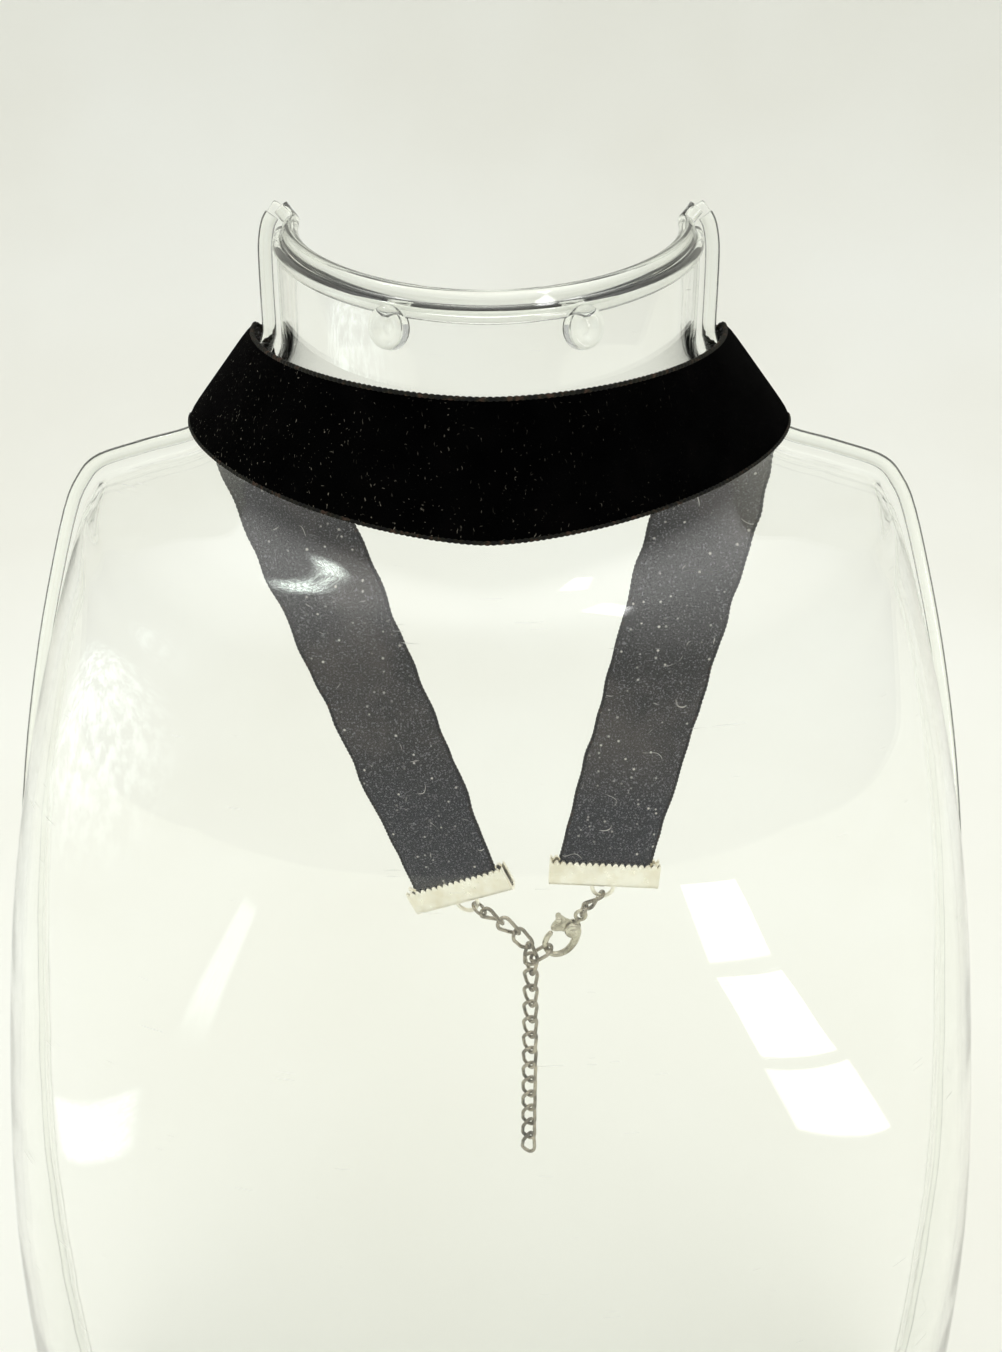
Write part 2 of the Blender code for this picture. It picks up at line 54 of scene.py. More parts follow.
bust = {
    "height": 284.0, "width": 213.0, "depth": 67.0, "wall": 1.8, "flange": 3.4, "lip": 1.0,
    "bossRadius": 2.85, "bossHeight": 1.4, "bossSpacing": 25.0, "bossRow": 2,
    "bandTopRow": 4, "bandBaseRow": 5,
    "columns": 64, "stepsPerRow": 6, "lipRow": 1.35, "lipRows": 0.6, "flangeMiddle": 0.6,
    # rolled beads: radius, how far it sinks below its row as a share of that, and its row
    "rimBead": 1.25, "rimSink": 1.0, "stepBead": 1.0, "stepSink": 0.35, "stepRow": 0.95,
    "edgeBead": 1.15, "edgeBeadRow": 3, "edgeBeadSteps": 6, "beadColumns": 96,
    # drop, half width, depth, front drop, roundness
    "sections": (
        (0.000, 0.310, 0.522, 0.036, 1.85),
        (0.012, 0.331, 0.545, 0.037, 1.85),
        (0.026, 0.338, 0.548, 0.036, 1.82),
        (0.048, 0.340, 0.550, 0.031, 1.78),
        (0.068, 0.341, 0.553, 0.025, 1.74),
        (0.118, 0.452, 0.603, 0.038, 1.56),
        (0.128, 0.545, 0.670, 0.052, 1.76),
        (0.138, 0.625, 0.725, 0.070, 1.96),
        (0.154, 0.664, 0.765, 0.086, 2.08),
        (0.222, 0.736, 0.835, 0.074, 2.15),
        (0.339, 0.827, 0.900, 0.043, 2.20),
        (0.463, 0.894, 0.945, 0.018, 2.25),
        (0.694, 0.978, 0.985, 0.000, 2.30),
        (0.900, 1.000, 1.000, 0.000, 2.30),
        (1.000, 1.000, 1.000, 0.000, 2.30),
    ),
}

band = {
    "width": 18.0, "thickness": 1.0, "gap": 0.3, "length": 342.0,
    "frontSteps": 168, "foldSteps": 10, "strapSteps": 96, "across": 12,
    # shares of a strap over which it leaves the fold, comes to the clamp, and starts and ends its waves
    "leave": 0.30, "arriveFrom": 0.72, "arrive": 0.28, "waveIn": 0.12, "waveOut": 0.1,
    "edgeWave": 0.32, "edgeWaveLength": 13.0, "sag": 0.45, "sagLength": 16.0,
    "selvedgeRadius": 0.36, "selvedgeBead": 0.85,
}

clamp = {
    "length": 22.0, "height": 5.8, "plate": 0.7, "clearance": 0.2,
    "toothPitch": 1.25, "toothDepth": 0.8, "perTooth": 6, "corner": 0.85, "edge": 0.09, "bow": 0.05, "pinch": 0.12,
    "loopHalfWidth": 2.2, "loopDepth": 2.6, "loopWire": 0.8,
    "rightX": 22.6, "rightDrop": 122.7, "rightTilt": -2.8, "rightLoopTurn": -9.0,
    "leftTilt": 25.0, "leftTurn": 12.0, "leftLoopTurn": 34.0,
}

chain = {
    "length": 5.9, "width": 3.6, "wire": 0.8, "twist": 76.0, "gap": 0.12,
    "hookedWidth": 4.2, "hookedSpread": 0.65, "tailCount": 13, "tailTurn": 4.0,
    "ringDiameter": 3.8, "claspRingDiameter": 3.3, "ringWire": 0.65,
    # piece, angle
    "route": {
        "clasp_link": -135.0, "clasp_ring": -115.0, "clasp": -115.0, "link_hooked": -146.0,
        "link_4": 102.0, "link_3": 128.0, "link_2": 141.0, "link_1": 145.0, "ring_left": 142.0,
    },
}

clasp = {
    "thickness": 2.6, "barrelRadius": 1.75, "eyeOffset": 3.6, "eyeRadius": 1.05, "eyeWire": 0.8,
    "hookWire": 1.2, "leverThickness": 0.9, "leverClearance": 0.12, "rivetRadius": 0.5, "knobRadius": 0.65,
    "headStand": 0.28, "bodyVoxel": 0.11, "leverVoxel": 0.09,
    "hookedPlace": (1.95, 0.68), "knobPlace": (-0.32, 1.06),
    # along, across, thickness
    "hook": (
        (0.00, -0.22, 2.00), (0.42, -0.41, 1.50), (0.94, -0.47, 1.30), (1.48, -0.36, 1.15), (1.90, -0.06, 1.05),
        (2.06, 0.30, 1.00), (1.96, 0.67, 1.00), (1.62, 0.97, 1.05), (1.19, 1.06, 1.05), (0.80, 1.01, 0.95),
    ),
    # along, across
    "lever": (
        (0.28, -0.16), (-0.20, -0.28), (-0.38, 0.06), (-0.44, 0.66), (-0.46, 0.98),
        (0.06, 1.16), (0.50, 1.16), (0.53, 0.90), (0.36, 0.52), (0.33, 0.10),
    ),
}

# brightness all round, what the front and the ceiling add to it, and the directions over which those set in
room = {
    "colour": "#fdfdfb", "low": 0.57, "front": 0.02, "top": 1.58,
    "frontRange": (-0.2, -0.9), "topRange": (0.55, 1.0),
}

# in metres
ground = {"near": -1.6, "bend": 0.35, "bendRadius": 0.6, "bendSteps": 16, "high": 2.4, "half": 2.4}

# strength, softness, share of speckle, colour, corners in metres
reflectors = {
    "paneUpper": (7.0, 0.08, 0.0, "#ffffff",
                  ((0.644, -1.036, 0.012), (0.838, -0.893, 0.013), (0.479, -0.406, 0.002), (0.358, -0.484, 0.002))),
    "paneMiddle": (7.0, 0.08, 0.0, "#ffffff",
                   ((0.343, -0.445, 0.002), (0.454, -0.363, 0.002), (0.349, -0.172, 0.002), (0.277, -0.267, 0.002))),
    "paneLower": (6.0, 0.12, 0.25, "#ffffff",
                  ((0.267, -0.257, 0.002), (0.341, -0.150, 0.002), (0.273, -0.052, 0.002), (0.225, -0.163, 0.002))),
    "leftWedge": (4.5, 0.5, 0.35, "#f4fffc",
                  ((-0.344, -0.214, 0.002), (-0.769, -0.824, 0.002), (-0.625, -0.753, 0.002), (-0.291, -0.248, 0.002))),
    "leftFoot": (4.5, 0.5, 0.5, "#f4fffc",
                 ((-0.299, 0.019, 0.002), (-0.304, -0.158, 0.002), (-0.237, -0.113, 0.002), (-0.250, -0.005, 0.002))),
    "leftSheen": (4.5, 1.0, 0.85, "#f4fffd",
                  ((-0.548, 0.189, 0.225), (-0.481, -0.181, 0.476), (-0.438, -0.350, 0.130), (-0.453, 0.241, 0.010))),
    "strapGlare": (34.0, 1.0, 0.75, "#f4fff6",
                   ((-0.580, 0.050, 0.960), (-0.570, -0.140, 0.950), (-0.430, -0.140, 1.030), (-0.420, 0.040, 1.040))),
    "smallSpot": (14.0, 0.5, 0.0, "#ffffff",
                  ((0.450, -0.400, 0.925), (0.455, -0.265, 0.965), (0.375, -0.230, 1.030), (0.325, -0.380, 1.005))),
}

finishes = {
    "clamp": {"bright": "#fffbee", "dull": "#f3ecd8", "roughness": (0.26, 0.40), "pits": 0.25},
    "clasp": {"bright": "#d2ccb9", "dull": "#8f8873", "roughness": (0.18, 0.32), "pits": 0.1},
    "chain": {"bright": "#b3ab9a", "dull": "#544e43", "roughness": (0.15, 0.32), "pits": 0.1},
}

clampThickness = 2 * clamp["plate"] + band["thickness"] + 2 * clamp["clearance"]
foldRadius = bust["wall"] / 2 + band["gap"] + band["thickness"] / 2
leftTurn = math.radians(clamp["leftTurn"])
loopSide = clamp["loopHalfWidth"] * math.sin(math.radians(clamp["leftLoopTurn"]))
rearReach = (
    bust["wall"] / 2 + foldRadius - chain["hookedSpread"]
    + math.sin(leftTurn) * (clamp["length"] / 2 + loopSide)
    + math.cos(leftTurn) * clampThickness / 2
)
backY = (bust["depth"] - rearReach) / 2
foldY = backY + bust["wall"] / 2
strapY = foldY + foldRadius


def hexColour(text):
    # sRGB to linear
    channels = [int(text[i:i + 2], 16) / 255 for i in (1, 3, 5)]
    linear = [c / 12.92 if c <= 0.04045 else ((c + 0.055) / 1.055) ** 2.4 for c in channels]
    return (*linear, 1.0)


def addNode(tree, kind, inputs=None, stops=None, **settings):
    node = tree.nodes.new(kind)
    for key, value in settings.items():
        setattr(node, key, value)
    for key, value in (inputs or {}).items():
        if isinstance(value, bpy.types.NodeSocket):
            tree.links.new(value, node.inputs[key])
        else:
            node.inputs[key].default_value = value
    if stops:
        elements = node.color_ramp.elements
        while len(elements) < len(stops):
            elements.new(1.0)
        for element, (place, colour) in zip(elements, stops):
            element.position = place
            element.color = hexColour(colour)
    return node


def startMaterial(name, **values):
    # a keyword is the socket's name, with underscores for its spaces
    material = bpy.data.materials.new(name)
    material.use_nodes = True
    tree = material.node_tree
    shader = tree.nodes["Principled BSDF"]
    for key, value in values.items():
        shader.inputs[key.replace("_", " ")].default_value = value
    return tree, shader, addNode(tree, "ShaderNodeTexCoord").outputs["Object"], material


def makeVelvet():
    # nylon velvet, woven and cut to a dense black pile: it swallows the light, and only stray lint catches any
    tree, shader, where, material = startMaterial(
        "nylonVelvet", Roughness=1.0, Specular_IOR_Level=0.01, Sheen_Weight=0.003, Sheen_Roughness=0.5,
        Sheen_Tint=hexColour("#8a857c"))
    patches = addNode(tree, "ShaderNodeTexNoise", {"Vector": where, "Scale": 160.0, "Detail": 2.0})
    pile = addNode(tree, "ShaderNodeValToRGB", {"Fac": patches.outputs["Fac"]},
                   ((0.35, "#010101"), (0.62, "#030303"), (0.8, "#060505")))
    # lint: short hairs of about 0.2 mm, one for every cell of 0.6 mm that is picked
    crooked = addNode(tree, "ShaderNodeTexNoise", {"Vector": where, "Scale": 900.0, "Detail": 1.0})
    shifted = addNode(tree, "ShaderNodeMix", {0: 0.0012, 4: where, 5: crooked.outputs["Color"]}, data_type="VECTOR")
    masks = []
    for turn, stretch, scale, share in ((0.2, (1, 1, 0.26), 1800.0, 0.40), (-0.7, (0.45, 1, 1), 2000.0, 0.62)):
        laid = addNode(tree, "ShaderNodeMapping",
                       {"Vector": shifted.outputs[1], "Rotation": (0, turn, 0), "Scale": stretch})
        cells = addNode(tree, "ShaderNodeTexVoronoi", {"Vector": laid.outputs["Vector"], "Scale": scale})
        hair = addNode(tree, "ShaderNodeMapRange", {"Value": cells.outputs["Distance"], "From Min": 0.19,
                                                    "From Max": 0.07})
        chance = addNode(tree, "ShaderNodeSeparateColor", {"Color": cells.outputs["Color"]})
        picked = addNode(tree, "ShaderNodeMapRange", {"Value": chance.outputs[0], "From Min": share, "From Max": 1.0})
        masks.append(addNode(tree, "ShaderNodeMath", {0: hair.outputs[0], 1: picked.outputs[0]}, operation="MULTIPLY"))
    hairs = addNode(tree, "ShaderNodeMath", {0: masks[0].outputs[0], 1: masks[1].outputs[0]}, operation="MAXIMUM")
    # most of it lies towards the left end of the view and along the lower edge
    split = addNode(tree, "ShaderNodeSeparateXYZ", {"Vector": where})
    side = addNode(tree, "ShaderNodeMapRange", {"Value": split.outputs["X"], "From Min": -0.045, "From Max": 0.030,
                                                "To Min": 1.0, "To Max": 0.03})
    clumps = addNode(tree, "ShaderNodeTexNoise", {"Vector": where, "Scale": 150.0, "Detail": 3.0, "Roughness": 0.7})
    clump = addNode(tree, "ShaderNodeMapRange", {"Value": clumps.outputs["Fac"], "From Min": 0.38, "From Max": 0.62,
                                                 "To Min": 0.15})
    sheet = addNode(tree, "ShaderNodeUVMap", uv_map="ribbon").outputs["UV"]
    lower = addNode(tree, "ShaderNodeSeparateXYZ", {"Vector": sheet})
    hem = addNode(tree, "ShaderNodeMapRange", {"Value": lower.outputs["Y"], "From Min": 0.013, "From Max": 0.0175,
                                               "To Min": 0.0, "To Max": 0.8})
    along = addNode(tree, "ShaderNodeMath", {0: side.outputs[0], 1: hem.outputs[0]}, operation="MULTIPLY")
    patchy = addNode(tree, "ShaderNodeMath", {0: side.outputs[0], 1: clump.outputs[0]}, operation="MULTIPLY")
    near = addNode(tree, "ShaderNodeMath", {0: along.outputs[0], 1: patchy.outputs[0]}, use_clamp=True)
    lint = addNode(tree, "ShaderNodeMath", {0: hairs.outputs[0], 1: near.outputs[0]}, operation="MULTIPLY")
    colour = addNode(tree, "ShaderNodeMix", {0: lint.outputs[0], 6: pile.outputs["Color"], 7: hexColour("#8f8a7e")},
                     data_type="RGBA")
    tree.links.new(colour.outputs[2], shader.inputs["Base Color"])
    nap = addNode(tree, "ShaderNodeTexNoise", {"Vector": where, "Scale": 2600.0, "Detail": 3.0, "Roughness": 0.7})
    bump = addNode(tree, "ShaderNodeBump", {"Height": nap.outputs["Fac"], "Strength": 0.5, "Distance": 0.0004})
    tree.links.new(bump.outputs["Normal"], shader.inputs["Normal"])
    return material


def makeSatin():
    # polyester satin, the woven back of the velvet: dark, smooth and slightly glossy, with dust on it, and with painted
    # reflections, painted shade and painted glints in its colour
    tree, shader, where, material = startMaterial(
        "polyesterSatin", Roughness=0.42, Specular_IOR_Level=0.3, Sheen_Weight=0.1, Sheen_Roughness=0.3,
        Sheen_Tint=hexColour("#8f95a3"))
    sheet = addNode(tree, "ShaderNodeUVMap", uv_map="ribbon").outputs["UV"]
    # painted light and shade: dark and grey patches across the straps, standing in for the reflections that vary over
    # them
    patches = addNode(tree, "ShaderNodeTexNoise", {"Vector": where, "Scale": 42.0, "Detail": 4.0, "Roughness": 0.55})
    tone = addNode(tree, "ShaderNodeValToRGB", {"Fac": patches.outputs["Fac"]},
                   ((0.41, "#010101"), (0.5, "#1d1a19"), (0.61, "#443e3a")))
    # painted shade: below about 0.19 m high the straps turn navy-black, standing in for a dark reflection on their
    # lower parts
    split = addNode(tree, "ShaderNodeSeparateXYZ", {"Vector": where})
    low = addNode(tree, "ShaderNodeMapRange", {"Value": split.outputs["Z"], "From Min": 0.190, "From Max": 0.176})
    paintedShadeBelow = addNode(tree, "ShaderNodeMix", {0: low.outputs[0], 6: tone.outputs["Color"], 7: hexColour("#080e1a")},
                   data_type="RGBA")
    # painted glints: pale grey specks about 0.3 mm apart in the colour, standing in for the weave's floats catching the
    # light
    paintedGlintNoise = addNode(tree, "ShaderNodeTexNoise", {"Vector": where, "Scale": 3000.0, "Detail": 1.0})
    paintedGlint = addNode(tree, "ShaderNodeMapRange", {"Value": paintedGlintNoise.outputs["Fac"], "From Min": 0.55, "From Max": 0.72,
                                                 "To Max": 0.8})
    withPaintedGlints = addNode(tree, "ShaderNodeMix", {0: paintedGlint.outputs[0], 6: paintedShadeBelow.outputs[2], 7: hexColour("#8f8e92")},
                       data_type="RGBA")
    # dust: specks of 0.3 mm, one for every second cell of 1.6 mm, drawn coarser than real ones so that they show
    cells = addNode(tree, "ShaderNodeTexVoronoi", {"Vector": where, "Scale": 620.0})
    speck = addNode(tree, "ShaderNodeMapRange", {"Value": cells.outputs["Distance"], "From Min": 0.20,
                                                 "From Max": 0.10})
    chance = addNode(tree, "ShaderNodeSeparateColor", {"Color": cells.outputs["Color"]})
    picked = addNode(tree, "ShaderNodeMapRange", {"Value": chance.outputs[0], "From Min": 0.45, "From Max": 0.9})
    dust = addNode(tree, "ShaderNodeMath", {0: speck.outputs[0], 1: picked.outputs[0]}, operation="MULTIPLY")
    # fibres: crooked lines 0.2 mm wide, broken into lengths of a few millimetres
    bends = addNode(tree, "ShaderNodeTexNoise", {"Vector": where, "Scale": 130.0, "Detail": 1.0})
    centred = addNode(tree, "ShaderNodeMath", {0: bends.outputs["Fac"], 1: 0.5}, operation="SUBTRACT")
    reach = addNode(tree, "ShaderNodeMath", {0: centred.outputs[0]}, operation="ABSOLUTE")
    fibre = addNode(tree, "ShaderNodeMapRange", {"Value": reach.outputs[0], "From Min": 0.0065, "From Max": 0.002})
    gaps = addNode(tree, "ShaderNodeTexNoise", {"Vector": where, "Scale": 210.0, "Detail": 1.0})
    kept = addNode(tree, "ShaderNodeMapRange", {"Value": gaps.outputs["Fac"], "From Min": 0.60, "From Max": 0.66})
    broken = addNode(tree, "ShaderNodeMath", {0: fibre.outputs[0], 1: kept.outputs[0]}, operation="MULTIPLY")
    litter = addNode(tree, "ShaderNodeMath", {0: dust.outputs[0], 1: broken.outputs[0]}, operation="MAXIMUM")
    colour = addNode(tree, "ShaderNodeMix", {0: litter.outputs[0], 6: withPaintedGlints.outputs[2], 7: hexColour("#dedad2")},
                     data_type="RGBA")
    tree.links.new(colour.outputs[2], shader.inputs["Base Color"])
    # weft ribs 0.3 mm apart, drawn coarser than the real ones so that they show
    weave = addNode(tree, "ShaderNodeTexWave", {"Vector": sheet, "Scale": 520.0, "Distortion": 0.6, "Detail": 1.0},
                    bands_direction="X")
    ribs = addNode(tree, "ShaderNodeBump", {"Height": weave.outputs["Fac"], "Strength": 0.10, "Distance": 0.0001})
    creases = addNode(tree, "ShaderNodeTexNoise", {"Vector": where, "Scale": 60.0, "Detail": 1.0})
    bump = addNode(tree, "ShaderNodeBump", {"Height": creases.outputs["Fac"], "Strength": 0.25, "Distance": 0.0012,
                                            "Normal": ribs.outputs["Normal"]})
    tree.links.new(bump.outputs["Normal"], shader.inputs["Normal"])
    return material


def makeSelvedge():
    # nylon thread, woven in small loops along both edges: black, with brown painted highlights scattered over the
    # threads
    tree, shader, where, material = startMaterial(
        "nylonSelvedge", Roughness=0.8, Specular_IOR_Level=0.2, Sheen_Weight=0.08, Sheen_Tint=hexColour("#8c8672"))
    threadsAndPaintedHighlights = addNode(tree, "ShaderNodeTexNoise", {"Vector": where, "Scale": 900.0, "Detail": 2.0})
    # painted highlights: brown flecks in the colour, at random along the threads
    tone = addNode(tree, "ShaderNodeValToRGB", {"Fac": threadsAndPaintedHighlights.outputs["Fac"]},
                   ((0.4, "#060605"), (0.56, "#15150a"), (0.68, "#3a2a20")))
    tree.links.new(tone.outputs["Color"], shader.inputs["Base Color"])
    bump = addNode(tree, "ShaderNodeBump", {"Height": threadsAndPaintedHighlights.outputs["Fac"], "Strength": 0.4, "Distance": 0.0001})
    tree.links.new(bump.outputs["Normal"], shader.inputs["Normal"])
    return material


def makeNickel(name, finish):
    # nickel plate over stamped, drawn or cast base metal: pale and slightly warm, duller and brighter in random clouds
    tree, shader, where, material = startMaterial(name, Metallic=1.0)
    cloud = addNode(tree, "ShaderNodeTexNoise", {"Vector": where, "Scale": 330.0, "Detail": 4.0, "Roughness": 0.6})
    tone = addNode(tree, "ShaderNodeValToRGB", {"Fac": cloud.outputs["Fac"]},
                   ((0.34, finish["dull"]), (0.6, finish["bright"])))
    tree.links.new(tone.outputs["Color"], shader.inputs["Base Color"])
    rubbed = addNode(tree, "ShaderNodeTexNoise", {"Vector": where, "Scale": 760.0, "Detail": 3.0})
    low, high = finish["roughness"]
    gloss = addNode(tree, "ShaderNodeMapRange", {"Value": rubbed.outputs["Fac"], "From Min": 0.3, "From Max": 0.75,
                                                 "To Min": low, "To Max": high})
    tree.links.new(gloss.outputs[0], shader.inputs["Roughness"])
    pits = addNode(tree, "ShaderNodeTexVoronoi", {"Vector": where, "Scale": 1100.0})
    pit = addNode(tree, "ShaderNodeMapRange", {"Value": pits.outputs["Distance"], "From Max": 0.22})
    dented = addNode(tree, "ShaderNodeBump", {"Height": pit.outputs[0], "Strength": finish["pits"], "Distance": 0.0001})
    waves = addNode(tree, "ShaderNodeTexNoise", {"Vector": where, "Scale": 240.0, "Detail": 2.0})
    bump = addNode(tree, "ShaderNodeBump", {"Height": waves.outputs["Fac"], "Strength": 0.2, "Distance": 0.0004,
                                            "Normal": dented.outputs["Normal"]})
    tree.links.new(bump.outputs["Normal"], shader.inputs["Normal"])
    return material


def makeClearPlastic():
    # clear acrylic, injection moulded: sharp reflections on a face that waves a little, with fine handling scratches
    tree, shader, where, material = startMaterial(
        "clearAcrylic", Base_Color=hexColour("#fdfefc"), Transmission_Weight=1.0, IOR=1.49)
    # scratches 0.2 mm wide and a few centimetres long, in one slanting direction
    laid = addNode(tree, "ShaderNodeMapping", {"Vector": where, "Rotation": (0.1, 0.9, 0.2), "Scale": (1, 1, 26)})
    hairs = addNode(tree, "ShaderNodeTexNoise", {"Vector": laid.outputs["Vector"], "Scale": 95.0, "Detail": 1.0})
    line = addNode(tree, "ShaderNodeMapRange", {"Value": hairs.outputs["Fac"], "From Min": 0.76, "From Max": 0.80,
                                                "To Min": 0.012, "To Max": 0.30})
    tree.links.new(line.outputs[0], shader.inputs["Roughness"])
    # moulding waves 40 mm apart
    waves = addNode(tree, "ShaderNodeTexNoise", {"Vector": where, "Scale": 24.0, "Detail": 2.0})
    bump = addNode(tree, "ShaderNodeBump", {"Height": waves.outputs["Fac"], "Strength": 0.06, "Distance": 0.002})
    tree.links.new(bump.outputs["Normal"], shader.inputs["Normal"])
    return material


def makeBoard():
    # painted board, matt: the pale ground and cove behind the bust, with faint painted light and shade in broad clouds
    tree, shader, where, material = startMaterial("paintedBoard", Roughness=0.85, Specular_IOR_Level=0.15)
    # painted light and shade: brighter and duller clouds about half a metre across
    paintedLightClouds = addNode(tree, "ShaderNodeTexNoise", {"Vector": where, "Scale": 2.2, "Detail": 3.0})
    tone = addNode(tree, "ShaderNodeValToRGB", {"Fac": paintedLightClouds.outputs["Fac"]},
                   ((0.35, "#eeeee5"), (0.55, "#f4f5ee"), (0.75, "#f7f9f4")))
    tree.links.new(tone.outputs["Color"], shader.inputs["Base Color"])
    grain = addNode(tree, "ShaderNodeTexNoise", {"Vector": where, "Scale": 900.0, "Detail": 2.0})
    bump = addNode(tree, "ShaderNodeBump", {"Height": grain.outputs["Fac"], "Strength": 0.06, "Distance": 0.0003})
    tree.links.new(bump.outputs["Normal"], shader.inputs["Normal"])
    return material


def meshFrom(bm, name):
    # closes the bmesh into a mesh whose faces point outwards
    bmesh.ops.recalc_face_normals(bm, faces=bm.faces)
    mesh = bpy.data.meshes.new(name)
    bm.to_mesh(mesh)
    bm.free()
    return mesh


def drawRows(bm, rows, closed=False):
    # a chain of edges is drawn out from each row of points to the next
    line = [bm.verts.new(point) for point in rows[0]]
    pairs = list(zip(line, line[1:] + line[:1])) if closed else list(zip(line, line[1:]))
    edges = [bm.edges.new(pair) for pair in pairs]
    grid = [line]
    for row in rows[1:]:
        places = {vert: index for index, vert in enumerate(grid[-1])}
        drawn = bmesh.ops.extrude_edge_only(bm, edges=edges)["geom"]
        fresh = {part for part in drawn if isinstance(part, bmesh.types.BMVert)}
        line = [None] * len(row)
        for vert in fresh:
            others = (edge.other_vert(vert) for edge in vert.link_edges)
            index = next(places[other] for other in others if other in places)
            vert.co = row[index]
            line[index] = vert
        edges = [part for part in drawn if isinstance(part, bmesh.types.BMEdge) and all(v in fresh for v in part.verts)]
        grid.append(line)
    return grid


def addObject(name, data, *materials):
    obj = bpy.data.objects.new(name, data)
    bpy.context.scene.collection.objects.link(obj)
    for material in materials:
        data.materials.append(material)
    return obj


def applied(obj):
    # the object's mesh with its modifiers in it
    bpy.context.view_layer.update()
    mesh = bpy.data.meshes.new_from_object(obj.evaluated_get(bpy.context.evaluated_depsgraph_get()))
    bpy.data.objects.remove(obj)
    return mesh


def joined(name, meshes):
    bm = bmesh.new()
    for mesh in meshes:
        bm.from_mesh(mesh)
    whole = bpy.data.meshes.new(name)
    bm.to_mesh(whole)
    bm.free()
    return whole


def makePiece(name, mesh, materials, node, body=necklaceBody, matrix=None, smoothAngle=50.0):
    # the finished piece in metres, which takes the place of a CAD node
    if matrix:
        mesh.transform(matrix)
    mesh.transform(Matrix.Scale(mm, 4))
    piece = addObject(name, mesh, *materials)
    mesh.shade_smooth()
    mesh.set_sharp_from_angle(angle=math.radians(smoothAngle))
    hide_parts(node)
    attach(piece, body)
    return piece


def wireMesh(name, points, radius, sides=12, cyclic=False, radii=None):
    # a round wire along the points, closed at its ends
    curve = bpy.data.curves.new(name, "CURVE")
    curve.dimensions = "3D"
    curve.bevel_depth = radius
    curve.bevel_resolution = (sides - 4) // 2
    curve.use_fill_caps = True
    spline = curve.splines.new("POLY")
    spline.points.add(len(points) - 1)
    spline.use_cyclic_u = cyclic
    for index, point in enumerate(points):
        spline.points[index].co = (*point, 1)
        spline.points[index].radius = radii[index] if radii else 1.0
    mesh = applied(addObject(name, curve))
    bm = bmesh.new()
    bm.from_mesh(mesh)
    bmesh.ops.remove_doubles(bm, verts=bm.verts, dist=1e-4)
    return meshFrom(bm, name)


def lathe(name, profile, segments=32):
    bm = bmesh.new()
    verts = [bm.verts.new((radius, 0, height)) for radius, height in profile]
    edges = [bm.edges.new(pair) for pair in zip(verts, verts[1:])]
    bmesh.ops.spin(bm, geom=verts + edges, cent=(0, 0, 0), axis=(0, 0, 1), angle=math.tau, steps=segments,
                   use_merge=True)
    bmesh.ops.remove_doubles(bm, verts=bm.verts, dist=1e-4)
    return meshFrom(bm, name)


def smoothLine(points, perSpan=6, closed=False):
    # a curve that passes through every point
    points = [Vector(p) for p in points]
    count = len(points)
    padded = points if closed else [points[0] * 2 - points[1]] + points + [points[-1] * 2 - points[-2]]
    line = []
    for i in range(count if closed else count - 1):
        if closed:
            a, b, c, d = (points[(i + k) % count] for k in (-1, 0, 1, 2))
        else:
            a, b, c, d = padded[i:i + 4]
        for step in range(perSpan):
            t = step / perSpan
            line.append((b * 2 + (c - a) * t + (a * 2 - b * 5 + c * 4 - d) * t * t
                         + (b * 3 - c * 3 + d - a) * t * t * t) / 2)
    return line if closed else line + [points[-1]]


def smoothValues(values, perSpan=6):
    line = []
    for low, high in zip(values, values[1:]):
        line += [low + (high - low) * step / perSpan for step in range(perSpan)]
    return line + [values[-1]]


def ease(value):
    value = min(max(value, 0.0), 1.0)
    return value * value * (3 - 2 * value)


def slope(values, index):
    if index == 0 or index == len(values) - 1:
        return 0.0
    before, after = values[index] - values[index - 1], values[index + 1] - values[index]
    return 2 * before * after / (before + after) if before * after > 0 else 0.0


def sectionValues(row):
    # drop, half width, depth, front drop and roundness at any row between the listed ones
    low = min(int(row), len(bust["sections"]) - 2)
    t = row - low
    found = []
    for column in zip(*bust["sections"]):
        start, end = column[low], column[low + 1]
        rise, fall = slope(column, low), slope(column, low + 1)
        if low == 0:
            rise = end - start
        if low == len(column) - 2:
            fall = end - start
        found.append((2 * t ** 3 - 3 * t * t + 1) * start + (t ** 3 - 2 * t * t + t) * rise
                     + (3 * t * t - 2 * t ** 3) * end + (t ** 3 - t * t) * fall)
    return found


def outlinePoint(row):
    drop, half = sectionValues(row)[:2]
    return Vector((bust["width"] / 2 * half, 0, bust["height"] * (1 - drop)))


def outlineNormal(row):
    last = len(bust["sections"]) - 1
    run = outlinePoint(min(row + 0.3, last)) - outlinePoint(max(row - 0.3, 0))
    return Vector((-run.z, 0, run.x)).normalized()


def shellPoint(row, turn, edge, extra, baseY):
    _, _, depth, frontDrop, roundness = sectionValues(row)
    power = 2 / roundness
    side = math.copysign(abs(math.sin(turn)) ** power, turn)
    front = max(math.cos(turn), 0) ** power
    return Vector((edge.x * side, baseY - (depth * bust["depth"] + extra) * front,
                   edge.z - frontDrop * bust["height"] * front))


def lipAt(row):
    return bust["lip"] * ease((bust["lipRow"] - row) / bust["lipRows"])


